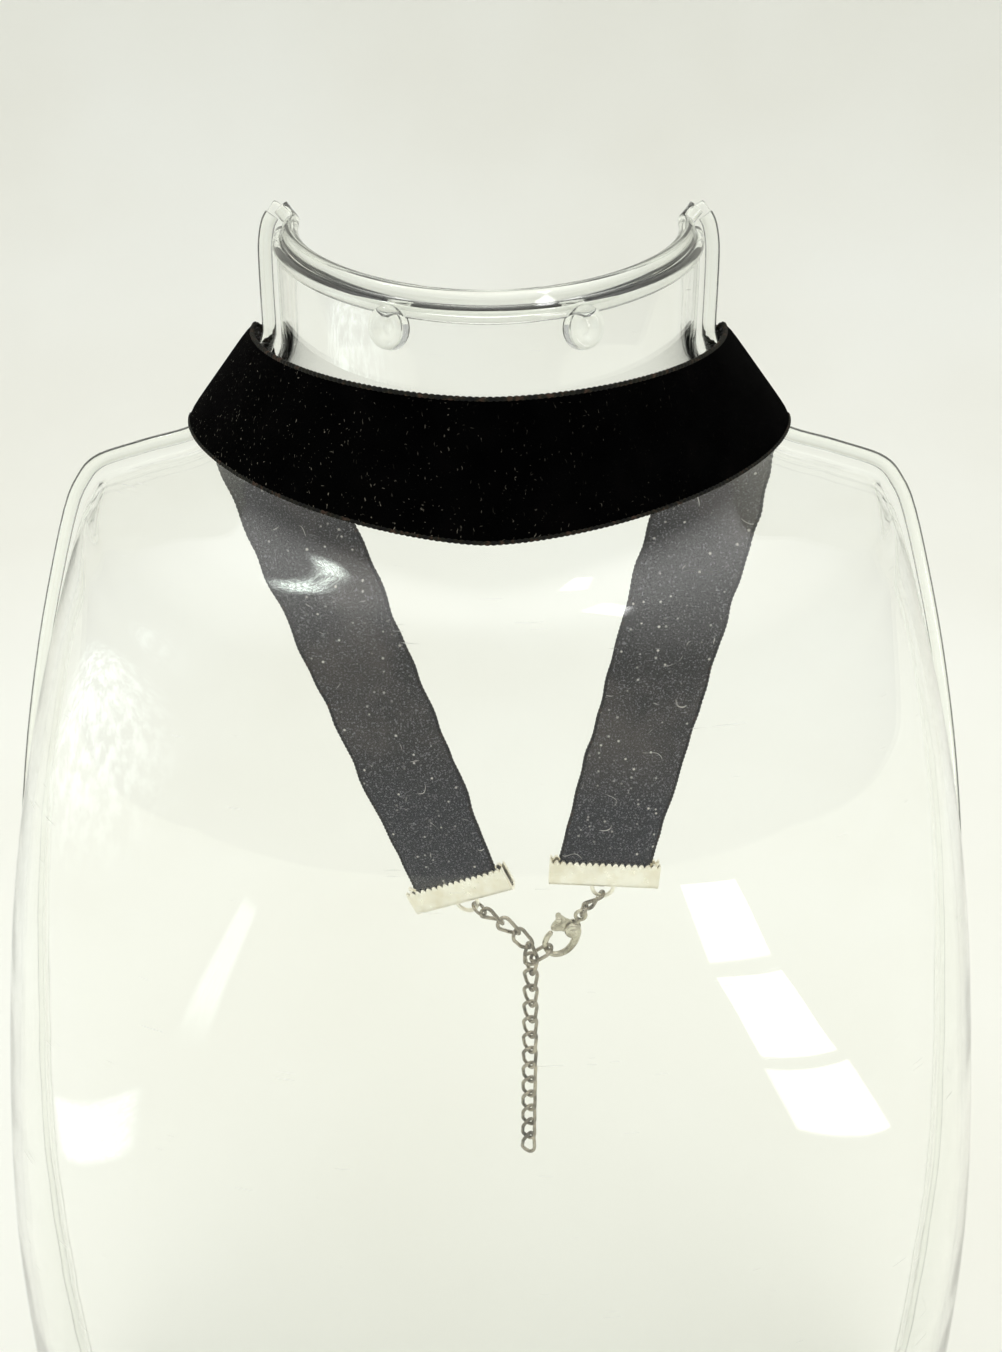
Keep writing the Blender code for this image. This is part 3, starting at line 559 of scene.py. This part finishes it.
def makeBust(clear):
    rows = (len(bust["sections"]) - 1) * bust["stepsPerRow"]
    share = bust["flangeMiddle"]
    lines = []
    for index in range(rows + 1):
        row = index / bust["stepsPerRow"]
        rim = outlinePoint(row)
        edge = rim - outlineNormal(row) * bust["flange"]
        middleX, middleZ = (rim[k] * share + edge[k] * (1 - share) for k in (0, 2))
        line = [Vector((-rim.x, backY, rim.z)), Vector((-middleX, backY, middleZ))]
        for column in range(bust["columns"] + 1):
            turn = math.radians(-90 + 180 * column / bust["columns"])
            line.append(shellPoint(row, turn, edge, lipAt(row), backY))
        line += [Vector((-point.x, point.y, point.z)) for point in reversed(line[:2])]
        lines.append(line)
    bm = bmesh.new()
    drawRows(bm, lines)
    for face in bm.faces:
        face.normal_update()
    if sum(face.normal.y * face.calc_area() for face in bm.faces) > 0:
        bmesh.ops.reverse_faces(bm, faces=bm.faces)
    mesh = bpy.data.meshes.new("shell")
    bm.to_mesh(mesh)
    bm.free()
    shell = addObject("shell", mesh)
    wall = shell.modifiers.new("wall", "SOLIDIFY")
    wall.thickness = bust["wall"]
    wall.offset = -1
    wall.use_even_offset = True
    rounding = shell.modifiers.new("rounding", "SUBSURF")
    rounding.levels = rounding.render_levels = 1
    meshes = [applied(shell), makeRimBead(0, bust["rimBead"], bust["rimSink"])]
    meshes.append(makeRimBead(bust["stepRow"], bust["stepBead"], bust["stepSink"]))
    meshes += [makeEdgeBead(side) for side in (-1, 1)]
    meshes += [makeBoss(side) for side in (-1, 1)]
    makePiece("clearBust", joined("clearBust", meshes), [clear], "neck_bust")


def makeRimBead(row, radius, sink):
    # the rolled edge across the neck, and the softer step below it
    rim = outlinePoint(row)
    edge = rim - outlineNormal(row) * bust["flange"]
    drop = Vector((0, 0, -radius * sink))
    count = bust["beadColumns"]
    points = [shellPoint(row, math.radians(-90 + 180 * i / count), edge, lipAt(row) - bust["wall"] / 2, backY) + drop
              for i in range(count + 1)]
    if row == 0:
        ends = [Vector((side * (rim.x - radius * 0.9), backY, rim.z)) + drop for side in (-1, 1)]
        points = [ends[0]] + points + [ends[1]]
    return wireMesh("rimBead", points, radius, sides=12)


def makeEdgeBead(side):
    # the rolled edge down each side
    radius = bust["edgeBead"]
    last = len(bust["sections"]) - 1
    points = []
    for index in range(bust["edgeBeadRow"], last * bust["edgeBeadSteps"] + 1):
        row = index / bust["edgeBeadSteps"]
        place = outlinePoint(row) - outlineNormal(row) * radius
        points.append((side * place.x, backY, max(place.z, radius * 0.2)))
    return wireMesh("edgeBead", points, radius, sides=12)


def makeBoss(side):
    row = bust["bossRow"]
    edge = outlinePoint(row) - outlineNormal(row) * bust["flange"]
    roundness = sectionValues(row)[4]
    turn = math.asin((bust["bossSpacing"] / 2 / edge.x) ** (roundness / 2))
    place = shellPoint(row, turn * side, edge, 0, backY)
    outward = Vector((side * math.sin(turn), -math.cos(turn), 0))
    radius, height = bust["bossRadius"], bust["bossHeight"]
    foot = -0.5
    profile = ((0, height * 0.62), (radius * 0.38, height * 0.66), (radius * 0.5, height * 0.94),
               (radius * 0.66, height), (radius * 0.84, height * 0.93), (radius * 0.96, height * 0.55),
               (radius, 0), (radius, foot), (0, foot))
    mesh = lathe("boss", profile)
    matrix = outward.to_track_quat("Z", "Y").to_matrix().to_4x4()
    matrix.translation = place
    mesh.transform(matrix)
    return mesh


def foldNormal():
    run = outlinePoint(bust["bandBaseRow"]) - outlinePoint(bust["bandTopRow"])
    return Vector((-run.z, 0, run.x)).normalized()


def bandRow(make):
    return [make(row) for row in (bust["bandTopRow"], bust["bandBaseRow"])]


def frontRows():
    rows = []
    for step in range(band["frontSteps"] + 1):
        turn = math.radians(-90 + 180 * step / band["frontSteps"])
        rows.append(bandRow(lambda row: shellPoint(row, turn, outlinePoint(row) + foldNormal() * foldRadius,
                                                   foldRadius, foldY)))
    return rows


def foldRows(side):
    rows = []
    for step in range(1, band["foldSteps"] + 1):
        turn = math.radians(90 * step / band["foldSteps"])
        away = foldNormal() * foldRadius * math.cos(turn)
        lift = foldRadius * math.sin(turn)
        rows.append(bandRow(lambda row: Vector((side * (outlinePoint(row) + away).x, foldY + lift,
                                                (outlinePoint(row) + away).z))))
    return rows


def strapRows(side, start, clampPlace):
    inner, outer = start
    begin = (inner + outer) / 2
    mouth = clampPlace @ Vector((0, 0, clamp["height"] / 2))
    along = (mouth - begin).normalized()
    foldCross = (outer - inner).normalized()
    squareCross = Vector((0, 1, 0)).cross(along) * -side
    if squareCross.dot(foldCross) < 0:
        squareCross.negate()
    clampCross = (clampPlace.to_3x3() @ Vector((side, 0, 0))).normalized()
    beginHalf = (outer - inner).length / 2
    rows = []
    for step in range(1, band["strapSteps"] + 1):
        share = step / band["strapSteps"]
        leave = ease(share / band["leave"])
        arrive = ease((share - band["arriveFrom"]) / band["arrive"])
        cross = foldCross.lerp(squareCross, leave).lerp(clampCross, arrive).normalized()
        half = beginHalf + (band["width"] / 2 - beginHalf) * leave
        middle = begin.lerp(mouth, share)
        free = ease(share / band["waveIn"]) * ease((1 - share) / band["waveOut"])
        run = share * (mouth - begin).length
        # the second and third numbers only keep the two straps and their edges from waving alike
        place = run / band["edgeWaveLength"] * 2.2
        wave = [band["edgeWave"] * free * noise.noise(Vector((place, side * 3.1 + k * 7.7, 0))) * 1.8 for k in (0, 1)]
        lifted = noise.noise(Vector((run / band["sagLength"], side * 5.3, 2)))
        lift = Vector((0, band["sag"] * free * (0.5 + lifted), 0))
        rows.append([middle - cross * (half + wave[0]) + lift, middle + cross * (half + wave[1]) + lift])
    end = clampPlace @ Vector((0, 0, -clamp["height"] / 2 + clamp["plate"] + band["gap"]))
    rows.append([end - clampCross * band["width"] / 2, end + clampCross * band["width"] / 2])
    return rows


def bandLines(rows):
    across = band["across"]
    lines = [[top.lerp(base, k / across) for k in range(across + 1)] for top, base in rows]
    normals = []
    for index, line in enumerate(lines):
        before, after = lines[max(index - 1, 0)], lines[min(index + 1, len(lines) - 1)]
        run = after[across // 2] - before[across // 2]
        normals.append(run.cross(line[-1] - line[0]).normalized())
    if normals[len(normals) // 2].y > 0:
        normals = [-n for n in normals]
    return lines, normals


def makeBand(velvet, satin, selvedge, clamps):
    leftFold, rightFold = foldRows(-1), foldRows(1)
    left = strapRows(-1, leftFold[-1], clamps[-1])
    right = strapRows(1, rightFold[-1], clamps[1])
    rows = list(reversed(left)) + list(reversed(leftFold)) + frontRows() + rightFold + right
    lines, normals = bandLines(rows)
    across = band["across"]
    half = band["thickness"] / 2
    sections, places = [], []
    run = 0.0
    for index, (line, normal) in enumerate(zip(lines, normals)):
        if index:
            run += (line[across // 2] - lines[index - 1][across // 2]).length
        outer, inner, spots = [], [], []
        for k, point in enumerate(line):
            v = 2 * k / across - 1
            crown = half * (1 - 0.65 * abs(v) ** 8)
            outer.append(point + normal * crown)
            inner.append(point - normal * crown)
            spots.append((run * mm, (v + 1) / 2 * band["width"] * mm))
        sections.append(outer + inner[::-1])
        places.append(spots + spots[::-1])
    bm = bmesh.new()
    uv = bm.loops.layers.uv.new("ribbon")
    grid = drawRows(bm, sections, closed=True)
    for end in (grid[0], grid[-1]):
        ends = set(end)
        bmesh.ops.holes_fill(bm, edges=[edge for edge in bm.edges if all(v in ends for v in edge.verts)])
    spotOf = {vert: spot for line, spots in zip(grid, places) for vert, spot in zip(line, spots)}
    innerVerts = {vert for line in grid for vert in line[across + 1:]}
    for face in bm.faces:
        face.material_index = 1 if all(vert in innerVerts for vert in face.verts) else 0
        for loop in face.loops:
            loop[uv].uv = spotOf[loop.vert]
    mesh = meshFrom(bm, "velvetBand")
    piece = makePiece("velvetBand", mesh, [velvet, satin], "velvet_ribbon")
    for name, k in (("selvedgeTop", 0), ("selvedgeBase", across)):
        tube = makeSelvedgeTube(name, [line[k] for line in lines[1:-1]], selvedge)


def makeSelvedgeTube(name, points, material):
    # a thread along the ribbon's edge that swells once for every bead
    bead, perBead = band["selvedgeBead"], 4
    spaced, left = [points[0]], bead / perBead
    for a, b in zip(points, points[1:]):
        length, start = (b - a).length, 0.0
        while length - start >= left:
            start += left
            spaced.append(a.lerp(b, start / length))
            left = bead / perBead
        left -= length - start
    radii = [0.78 + 0.34 * abs(math.sin(math.pi * i / perBead)) + 0.08 * noise.noise(Vector((i * 0.37, 0, 0)))
             for i in range(len(spaced))]
    mesh = wireMesh(name, spaced, band["selvedgeRadius"], sides=6, radii=radii)
    mesh.transform(Matrix.Scale(mm, 4))
    tube = addObject(name, mesh, material)
    mesh.shade_smooth()
    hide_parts("velvet_ribbon")
    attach(tube, necklaceBody)
    return tube


def clampMatrix(tilt, turn):
    tilt, turn = math.radians(tilt), math.radians(turn)
    length = Vector((math.cos(turn) * math.cos(tilt), -math.sin(turn), math.cos(turn) * math.sin(tilt)))
    up = Vector((-math.sin(tilt), 0, math.cos(tilt)))
    return Matrix((length, up.cross(length), up)).transposed().to_4x4()


def loopPoint(turn):
    angle = math.radians(turn)
    drop = clamp["height"] / 2 + clamp["loopDepth"] * math.cos(angle)
    return Vector((clamp["loopHalfWidth"] * math.sin(angle), 0, -drop))


def clampProfile():
    reach = clampThickness / 2 - clamp["plate"] / 2
    top, bottom = clamp["height"] / 2, -clamp["height"] / 2 + clamp["plate"] / 2
    corner = clamp["corner"]
    front = [(-reach + clamp["pinch"] * ease((z / top - 0.3) / 0.7), z)
             for z in (top, top * 0.82, top * 0.5, 0, -top * 0.4)]
    arc = [(-reach + corner * (1 - math.cos(a)), bottom + corner * (1 - math.sin(a)))
           for a in (math.radians(18 * i) for i in range(6))]
    side = front + arc
    return side + [(-y, z) for y, z in reversed(side)]


def makeClamp(name, node, place, metal):
    profile = clampProfile()
    perTooth = clamp["perTooth"]
    teeth = int(clamp["length"] / clamp["toothPitch"])
    count = teeth * perTooth
    lines = []
    for step in range(count + 1):
        share = step / count
        x = (share - 0.5) * clamp["length"]
        phase = (step % perTooth) / perTooth
        notch = clamp["toothDepth"] * max(0.0, 1 - abs(phase - 0.5) * 3.2)
        bow = clamp["bow"] * noise.noise(Vector((x / 6, len(name), 0)))
        line = []
        for i, (y, z) in enumerate(profile):
            cut = notch if i in (0, len(profile) - 1) else (notch * 0.35 if i in (1, len(profile) - 2) else 0)
            line.append(Vector((x, y + bow, z - cut)))
        lines.append(line)
    bm = bmesh.new()
    drawRows(bm, lines)
    plate = addObject("plate", meshFrom(bm, "plate"))
    wall = plate.modifiers.new("wall", "SOLIDIFY")
    wall.thickness = clamp["plate"]
    wall.offset = 0
    wall.use_even_offset = True
    edge = plate.modifiers.new("edge", "BEVEL")
    edge.width = clamp["edge"]
    edge.segments = 2
    edge.limit_method = "ANGLE"
    meshes = [applied(plate)]
    half = clamp["height"] / 2
    arc = [Vector((clamp["loopHalfWidth"] * math.cos(a), 0, -half - clamp["loopDepth"] * math.sin(a)))
           for a in (math.pi * i / 28 for i in range(29))]
    arc = [Vector((arc[0].x, 0, -half + 0.3))] + arc + [Vector((arc[-1].x, 0, -half + 0.3))]
    meshes.append(wireMesh("loop", arc, clamp["loopWire"] / 2, sides=12))
    makePiece(name, joined(name, meshes), [metal], node, matrix=place, smoothAngle=35)


def frameMatrix(place, along, across):
    # a place whose X runs along and whose Y runs across
    along = along.normalized()
    up = along.cross(across).normalized()
    matrix = Matrix((along, up.cross(along), up)).transposed().to_4x4()
    matrix.translation = place
    return matrix


def direction(angle):
    turn = math.radians(angle)
    return Vector((math.cos(turn), 0, math.sin(turn)))


def linkMesh(width, twist):
    # two half rounds on straight sides, and the whole link twisted about its length
    halfLength = (chain["length"] - chain["wire"]) / 2
    halfWidth = (width - chain["wire"]) / 2
    straight = halfLength - halfWidth
    points = []
    for end in (1, -1):
        for step in range(15):
            turn = math.radians(-90 + 180 * step / 14)
            x = end * (straight + halfWidth * math.cos(turn))
            w = end * halfWidth * math.sin(turn)
            roll = math.radians(twist) / 2 * x / halfLength
            points.append((x, w * math.cos(roll), w * math.sin(roll)))
    return wireMesh("link", points, chain["wire"] / 2, sides=10, cyclic=True)


def ringMesh(diameter, wire):
    radius = (diameter - wire) / 2
    points = [(radius * math.cos(a), radius * math.sin(a), 0) for a in (math.tau * i / 32 for i in range(32))]
    return wireMesh("ring", points, wire / 2, sides=10, cyclic=True)


class Hanger:
    # the wire that the next link hangs on, as a point and a radius
    def __init__(self, point, radius):
        self.point = point
        self.radius = radius

    def hang(self, innerLength, wire, along):
        half = innerLength / 2
        centre = self.point + along * (half - self.radius - chain["gap"])
        self.point = centre + along * (half + wire / 2)
        self.radius = wire / 2
        return centre


def linkMatrix(centre, along, roll):
    across = Matrix.Rotation(math.radians(roll), 3, along) @ Vector((0, 1, 0))
    return frameMatrix(centre, along, across)


def castMesh(name, meshes, voxel, smoothing=4):
    # several solids melted into one with soft corners, as a casting has
    block = addObject(name, joined(name, meshes))
    cast = block.modifiers.new("cast", "REMESH")
    cast.mode = "VOXEL"
    cast.voxel_size = voxel
    soft = block.modifiers.new("soft", "SMOOTH")
    soft.factor = 0.5
    soft.iterations = smoothing
    return applied(block)


def makeClaspBody(place, metal):
    unit = clasp["eyeOffset"]
    points = smoothLine([(along * unit, 0, across * unit) for along, across, _ in clasp["hook"]], 8)
    radii = smoothValues([thickness for _, _, thickness in clasp["hook"]], 8)
    hook = wireMesh("hook", points, clasp["hookWire"] / 2, sides=14, radii=radii)
    tip = lathe("tip", [(0, -0.5), (0.35, -0.4), (0.52, 0), (0.35, 0.4), (0, 0.5)], 16)
    tip.transform(Matrix.Translation(points[-1]))
    half = clasp["thickness"] / 2
    barrelRadius = clasp["barrelRadius"]
    barrel = lathe("barrel", ((0, -half), (barrelRadius * 0.82, -half), (barrelRadius, -half * 0.72),
                              (barrelRadius, half * 0.72), (barrelRadius * 0.82, half), (0, half)), 40)
    barrel.transform(Matrix.Rotation(math.pi / 2, 4, "X"))
    stem = wireMesh("stem", [(-unit + clasp["eyeRadius"] * 0.8, 0, 0), (0, 0, 0)], clasp["hookWire"] * 0.75, sides=14,
                    radii=[0.6, 1.2])
    eyeLine = [(-unit + clasp["eyeRadius"] * math.cos(a), 0, clasp["eyeRadius"] * math.sin(a))
               for a in (math.tau * i / 32 for i in range(32))]
    eye = wireMesh("eye", eyeLine, clasp["eyeWire"] / 2, sides=12, cyclic=True)
    cast = addObject("cast", castMesh("cast", [hook, tip, barrel, stem, eye], clasp["bodyVoxel"]))
    gap = clasp["leverThickness"] / 2 + clasp["leverClearance"]
    reach = barrelRadius * 1.15
    bm = bmesh.new()
    bmesh.ops.create_cube(bm, size=1)
    bmesh.ops.scale(bm, vec=(2 * reach, 2 * gap, 2.4 * reach), verts=bm.verts)
    bmesh.ops.translate(bm, vec=(0, 0, 0.2 * reach), verts=bm.verts)
    slotBox = addObject("slotBox", meshFrom(bm, "slotBox"))
    cut = cast.modifiers.new("slot", "BOOLEAN")
    cut.operation = "DIFFERENCE"
    cut.object = slotBox
    cut.solver = "EXACT"
    body = applied(cast)
    bpy.data.objects.remove(slotBox)
    headHeight = half + clasp["headStand"]
    head = clasp["rivetRadius"] * 1.55
    profile = [(0, -headHeight), (head * 0.6, -headHeight + 0.06), (head, -headHeight + 0.26),
               (head * 0.7, -half + 0.05)]
    profile += [(r, -z) for r, z in reversed(profile)]
    rivet = lathe("rivet", profile, 24)
    rivet.transform(Matrix.Rotation(math.pi / 2, 4, "X"))
    makePiece("claspBody", joined("claspBody", [body, rivet]), [metal], "clasp_body", matrix=place)


def makeLever(place, metal):
    unit = clasp["eyeOffset"]
    outline = smoothLine([(along * unit, 0, across * unit) for along, across in clasp["lever"]], 5, closed=True)
    half = clasp["leverThickness"] / 2
    bm = bmesh.new()
    plate = bm.faces.new([bm.verts.new((p.x, -half, p.z)) for p in outline])
    grown = bmesh.ops.extrude_face_region(bm, geom=[plate])
    moved = [v for v in grown["geom"] if isinstance(v, bmesh.types.BMVert)]
    bmesh.ops.translate(bm, vec=(0, 2 * half, 0), verts=moved)
    bar = meshFrom(bm, "bar")
    radius, reach = clasp["knobRadius"], clasp["thickness"] * 0.45
    knob = lathe("knob", ((0, -reach), (radius * 0.7, -reach + 0.03), (radius, -reach + 0.25), (radius, reach - 0.25),
                          (radius * 0.7, reach - 0.03), (0, reach)), 24)
    knob.transform(Matrix.Rotation(math.pi / 2, 4, "X"))
    knob.transform(Matrix.Translation((clasp["knobPlace"][0] * unit, 0, clasp["knobPlace"][1] * unit)))
    mesh = castMesh("lever", [bar, knob], clasp["leverVoxel"], 3)
    makePiece("claspLever", mesh, [metal], "clasp_lever", body=leverBody, matrix=place)


def makeNecklace(metals):
    inner = chain["length"] - 2 * chain["wire"]
    route = chain["route"]
    shared = linkMesh(chain["width"], chain["twist"])

    def placeLink(node, walker, roll, angle, mesh=None):
        along = direction(angle)
        centre = walker.hang(inner, chain["wire"], along)
        makePiece(node.replace("_", "") + "Wire", (mesh or shared).copy(), [metals["chain"]], node,
                  matrix=linkMatrix(centre, along, roll))

    def placeRing(node, walker, diameter, roll):
        along = direction(route[node])
        centre = walker.hang(diameter - 2 * chain["ringWire"], chain["ringWire"], along)
        makePiece(node.replace("_", "") + "Wire", ringMesh(diameter, chain["ringWire"]), [metals["chain"]], node,
                  matrix=linkMatrix(centre, along, roll))

    right = clampMatrix(clamp["rightTilt"], 0)
    right.translation = Vector((clamp["rightX"], strapY, bust["height"] - clamp["rightDrop"]))
    makeClamp("clampRight", "clamp_right", right, metals["clamp"])

    walker = Hanger(right @ loopPoint(clamp["rightLoopTurn"]), clamp["loopWire"] / 2)
    placeLink("clasp_link", walker, chain["twist"] / 2, route["clasp_link"])
    placeRing("clasp_ring", walker, chain["claspRingDiameter"], 0)

    along = direction(route["clasp"])
    eyeReach = clasp["eyeOffset"] + clasp["eyeRadius"] - clasp["eyeWire"] / 2 - walker.radius - chain["gap"]
    claspPlace = frameMatrix(walker.point + along * eyeReach, along, Vector((0, -1, 0)))
    makeClaspBody(claspPlace, metals["clasp"])
    makeLever(claspPlace, metals["clasp"])

    hooked = Vector((clasp["hookedPlace"][0] * clasp["eyeOffset"], 0, clasp["hookedPlace"][1] * clasp["eyeOffset"]))
    walker = Hanger(claspPlace @ hooked, clasp["hookWire"] / 2)
    placeLink("link_hooked", walker, 0, route["link_hooked"], linkMesh(chain["hookedWidth"], 0))
    end = walker.point
    spread = Vector((0, chain["hookedSpread"], 0))
    walker = Hanger(end + spread, chain["wire"] / 2)
    for index in range(chain["tailCount"]):
        placeLink(f"tail_{index + 1}", walker, -90 + chain["twist"] / 2 - chain["tailTurn"] * index, -90)
    walker = Hanger(end - spread, chain["wire"] / 2)
    start, finish = 90 + chain["twist"] / 2, 90 - chain["twist"] / 2
    for index in range(4):
        node = f"link_{4 - index}"
        placeLink(node, walker, start + (finish - start) * index / 3, route[node])
    placeRing("ring_left", walker, chain["ringDiameter"], 0)

    left = clampMatrix(clamp["leftTilt"], clamp["leftTurn"])
    loopReach = chain["ringWire"] / 2 + chain["gap"] + clamp["loopWire"] / 2
    loopCentre = walker.point - direction(route["ring_left"]) * loopReach
    left.translation = loopCentre - left.to_3x3() @ loopPoint(clamp["leftLoopTurn"])
    makeClamp("clampLeft", "clamp_left", left, metals["clamp"])
    return {-1: left, 1: right}


def makeStage():
    # the ground, a cove and the wall behind
    bend, radius, steps = ground["bend"], ground["bendRadius"], ground["bendSteps"]
    profile = [(ground["near"], 0.0), (bend, 0.0)]
    profile += [(bend + radius * math.sin(a), radius - radius * math.cos(a))
                for a in (math.pi / 2 * i / steps for i in range(1, steps + 1))]
    profile += [(bend + radius, ground["high"])]
    bm = bmesh.new()
    drawRows(bm, [[(x, y, z) for y, z in profile] for x in (-ground["half"], ground["half"])])
    sweep = addObject("sweep", meshFrom(bm, "sweep"), makeBoard())
    sweep.data.shade_smooth()
    for name, values in reflectors.items():
        makeReflector(name, *values)


def makeReflector(name, strength, softness, speckle, colour, corners):
    # a card that only shows as a reflection on the clear shell, fading towards its edges
    glow = bpy.data.materials.new(name + "Glow")
    glow.use_nodes = True
    tree = glow.node_tree
    tree.nodes.clear()
    spot = addNode(tree, "ShaderNodeUVMap", uv_map="card").outputs["UV"]
    split = addNode(tree, "ShaderNodeSeparateXYZ", {"Vector": spot})
    fades = []
    for axis in ("X", "Y"):
        off = addNode(tree, "ShaderNodeMath", {0: split.outputs[axis], 1: 0.5}, operation="SUBTRACT")
        away = addNode(tree, "ShaderNodeMath", {0: off.outputs[0]}, operation="ABSOLUTE")
        fades.append(addNode(tree, "ShaderNodeMapRange",
                             {"Value": away.outputs[0], "From Min": 0.5, "From Max": 0.499 - softness * 0.45},
                             interpolation_type="SMOOTHSTEP"))
    fade = addNode(tree, "ShaderNodeMath", {0: fades[0].outputs[0], 1: fades[1].outputs[0]}, operation="MULTIPLY")
    grain = addNode(tree, "ShaderNodeTexNoise", {"Vector": spot, "Scale": 16.0, "Detail": 4.0, "Roughness": 0.75})
    broken = addNode(tree, "ShaderNodeMapRange", {"Value": grain.outputs["Fac"], "From Min": 0.44, "From Max": 0.6,
                                                  "To Min": 1 - speckle, "To Max": 1.0})
    mask = addNode(tree, "ShaderNodeMath", {0: fade.outputs[0], 1: broken.outputs[0]}, operation="MULTIPLY")
    light = addNode(tree, "ShaderNodeEmission", {"Color": hexColour(colour), "Strength": strength})
    clear = addNode(tree, "ShaderNodeBsdfTransparent")
    mixed = addNode(tree, "ShaderNodeMixShader", {0: mask.outputs[0], 1: clear.outputs[0], 2: light.outputs[0]})
    addNode(tree, "ShaderNodeOutputMaterial", {"Surface": mixed.outputs[0]})
    bm = bmesh.new()
    uv = bm.loops.layers.uv.new("card")
    verts = [bm.verts.new(corner) for corner in corners]
    bmesh.ops.contextual_create(bm, geom=verts)
    for face in bm.faces:
        for loop in face.loops:
            loop[uv].uv = ((0, 0), (1, 0), (1, 1), (0, 1))[verts.index(loop.vert)]
    card = addObject(name, meshFrom(bm, name), glow)
    card.visible_camera = card.visible_diffuse = card.visible_transmission = card.visible_shadow = False


def makeRoom():
    # soft light from all round, strongest from above and somewhat stronger from the front
    world = bpy.data.worlds.new("softRoom")
    bpy.context.scene.world = world
    world.use_nodes = True
    tree = world.node_tree
    split = addNode(tree, "ShaderNodeSeparateXYZ", {"Vector": addNode(tree, "ShaderNodeTexCoord").outputs["Generated"]})
    nearest, farthest = room["frontRange"]
    front = addNode(tree, "ShaderNodeMapRange", {"Value": split.outputs["Y"], "From Min": nearest, "From Max": farthest,
                                                 "To Min": room["low"], "To Max": room["low"] + room["front"]},
                    interpolation_type="SMOOTHSTEP")
    lowest, highest = room["topRange"]
    above = addNode(tree, "ShaderNodeMapRange", {"Value": split.outputs["Z"], "From Min": lowest, "From Max": highest,
                                                 "To Min": 0.0, "To Max": room["top"]}, interpolation_type="SMOOTHSTEP")
    total = addNode(tree, "ShaderNodeMath", {0: front.outputs[0], 1: above.outputs[0]})
    background = tree.nodes["Background"]
    background.inputs["Color"].default_value = hexColour(room["colour"])
    tree.links.new(total.outputs[0], background.inputs["Strength"])


def makeCamera():
    camera = bpy.data.cameras.new("photoView")
    camera.lens = view["lens"]
    camera.sensor_width = 36.0
    camera.sensor_fit = "AUTO"
    camera.clip_start = 0.01
    obj = bpy.data.objects.new("photoView", camera)
    bpy.context.scene.collection.objects.link(obj)
    obj.location = Vector(view["place"]) * mm
    obj.rotation_euler = (math.radians(90 - view["pitch"]), 0, 0)
    bpy.context.scene.camera = obj


bpy.context.scene.view_settings.view_transform = "Standard"
makeCamera()
makeRoom()
makeStage()
print("stage done")
makeBust(makeClearPlastic())
print("bust done")
metals = {name: makeNickel(name + "Nickel", finish) for name, finish in finishes.items()}
clampPlaces = makeNecklace(metals)
print("metal done")
makeBand(makeVelvet(), makeSatin(), makeSelvedge(), clampPlaces)
print("ribbon done")
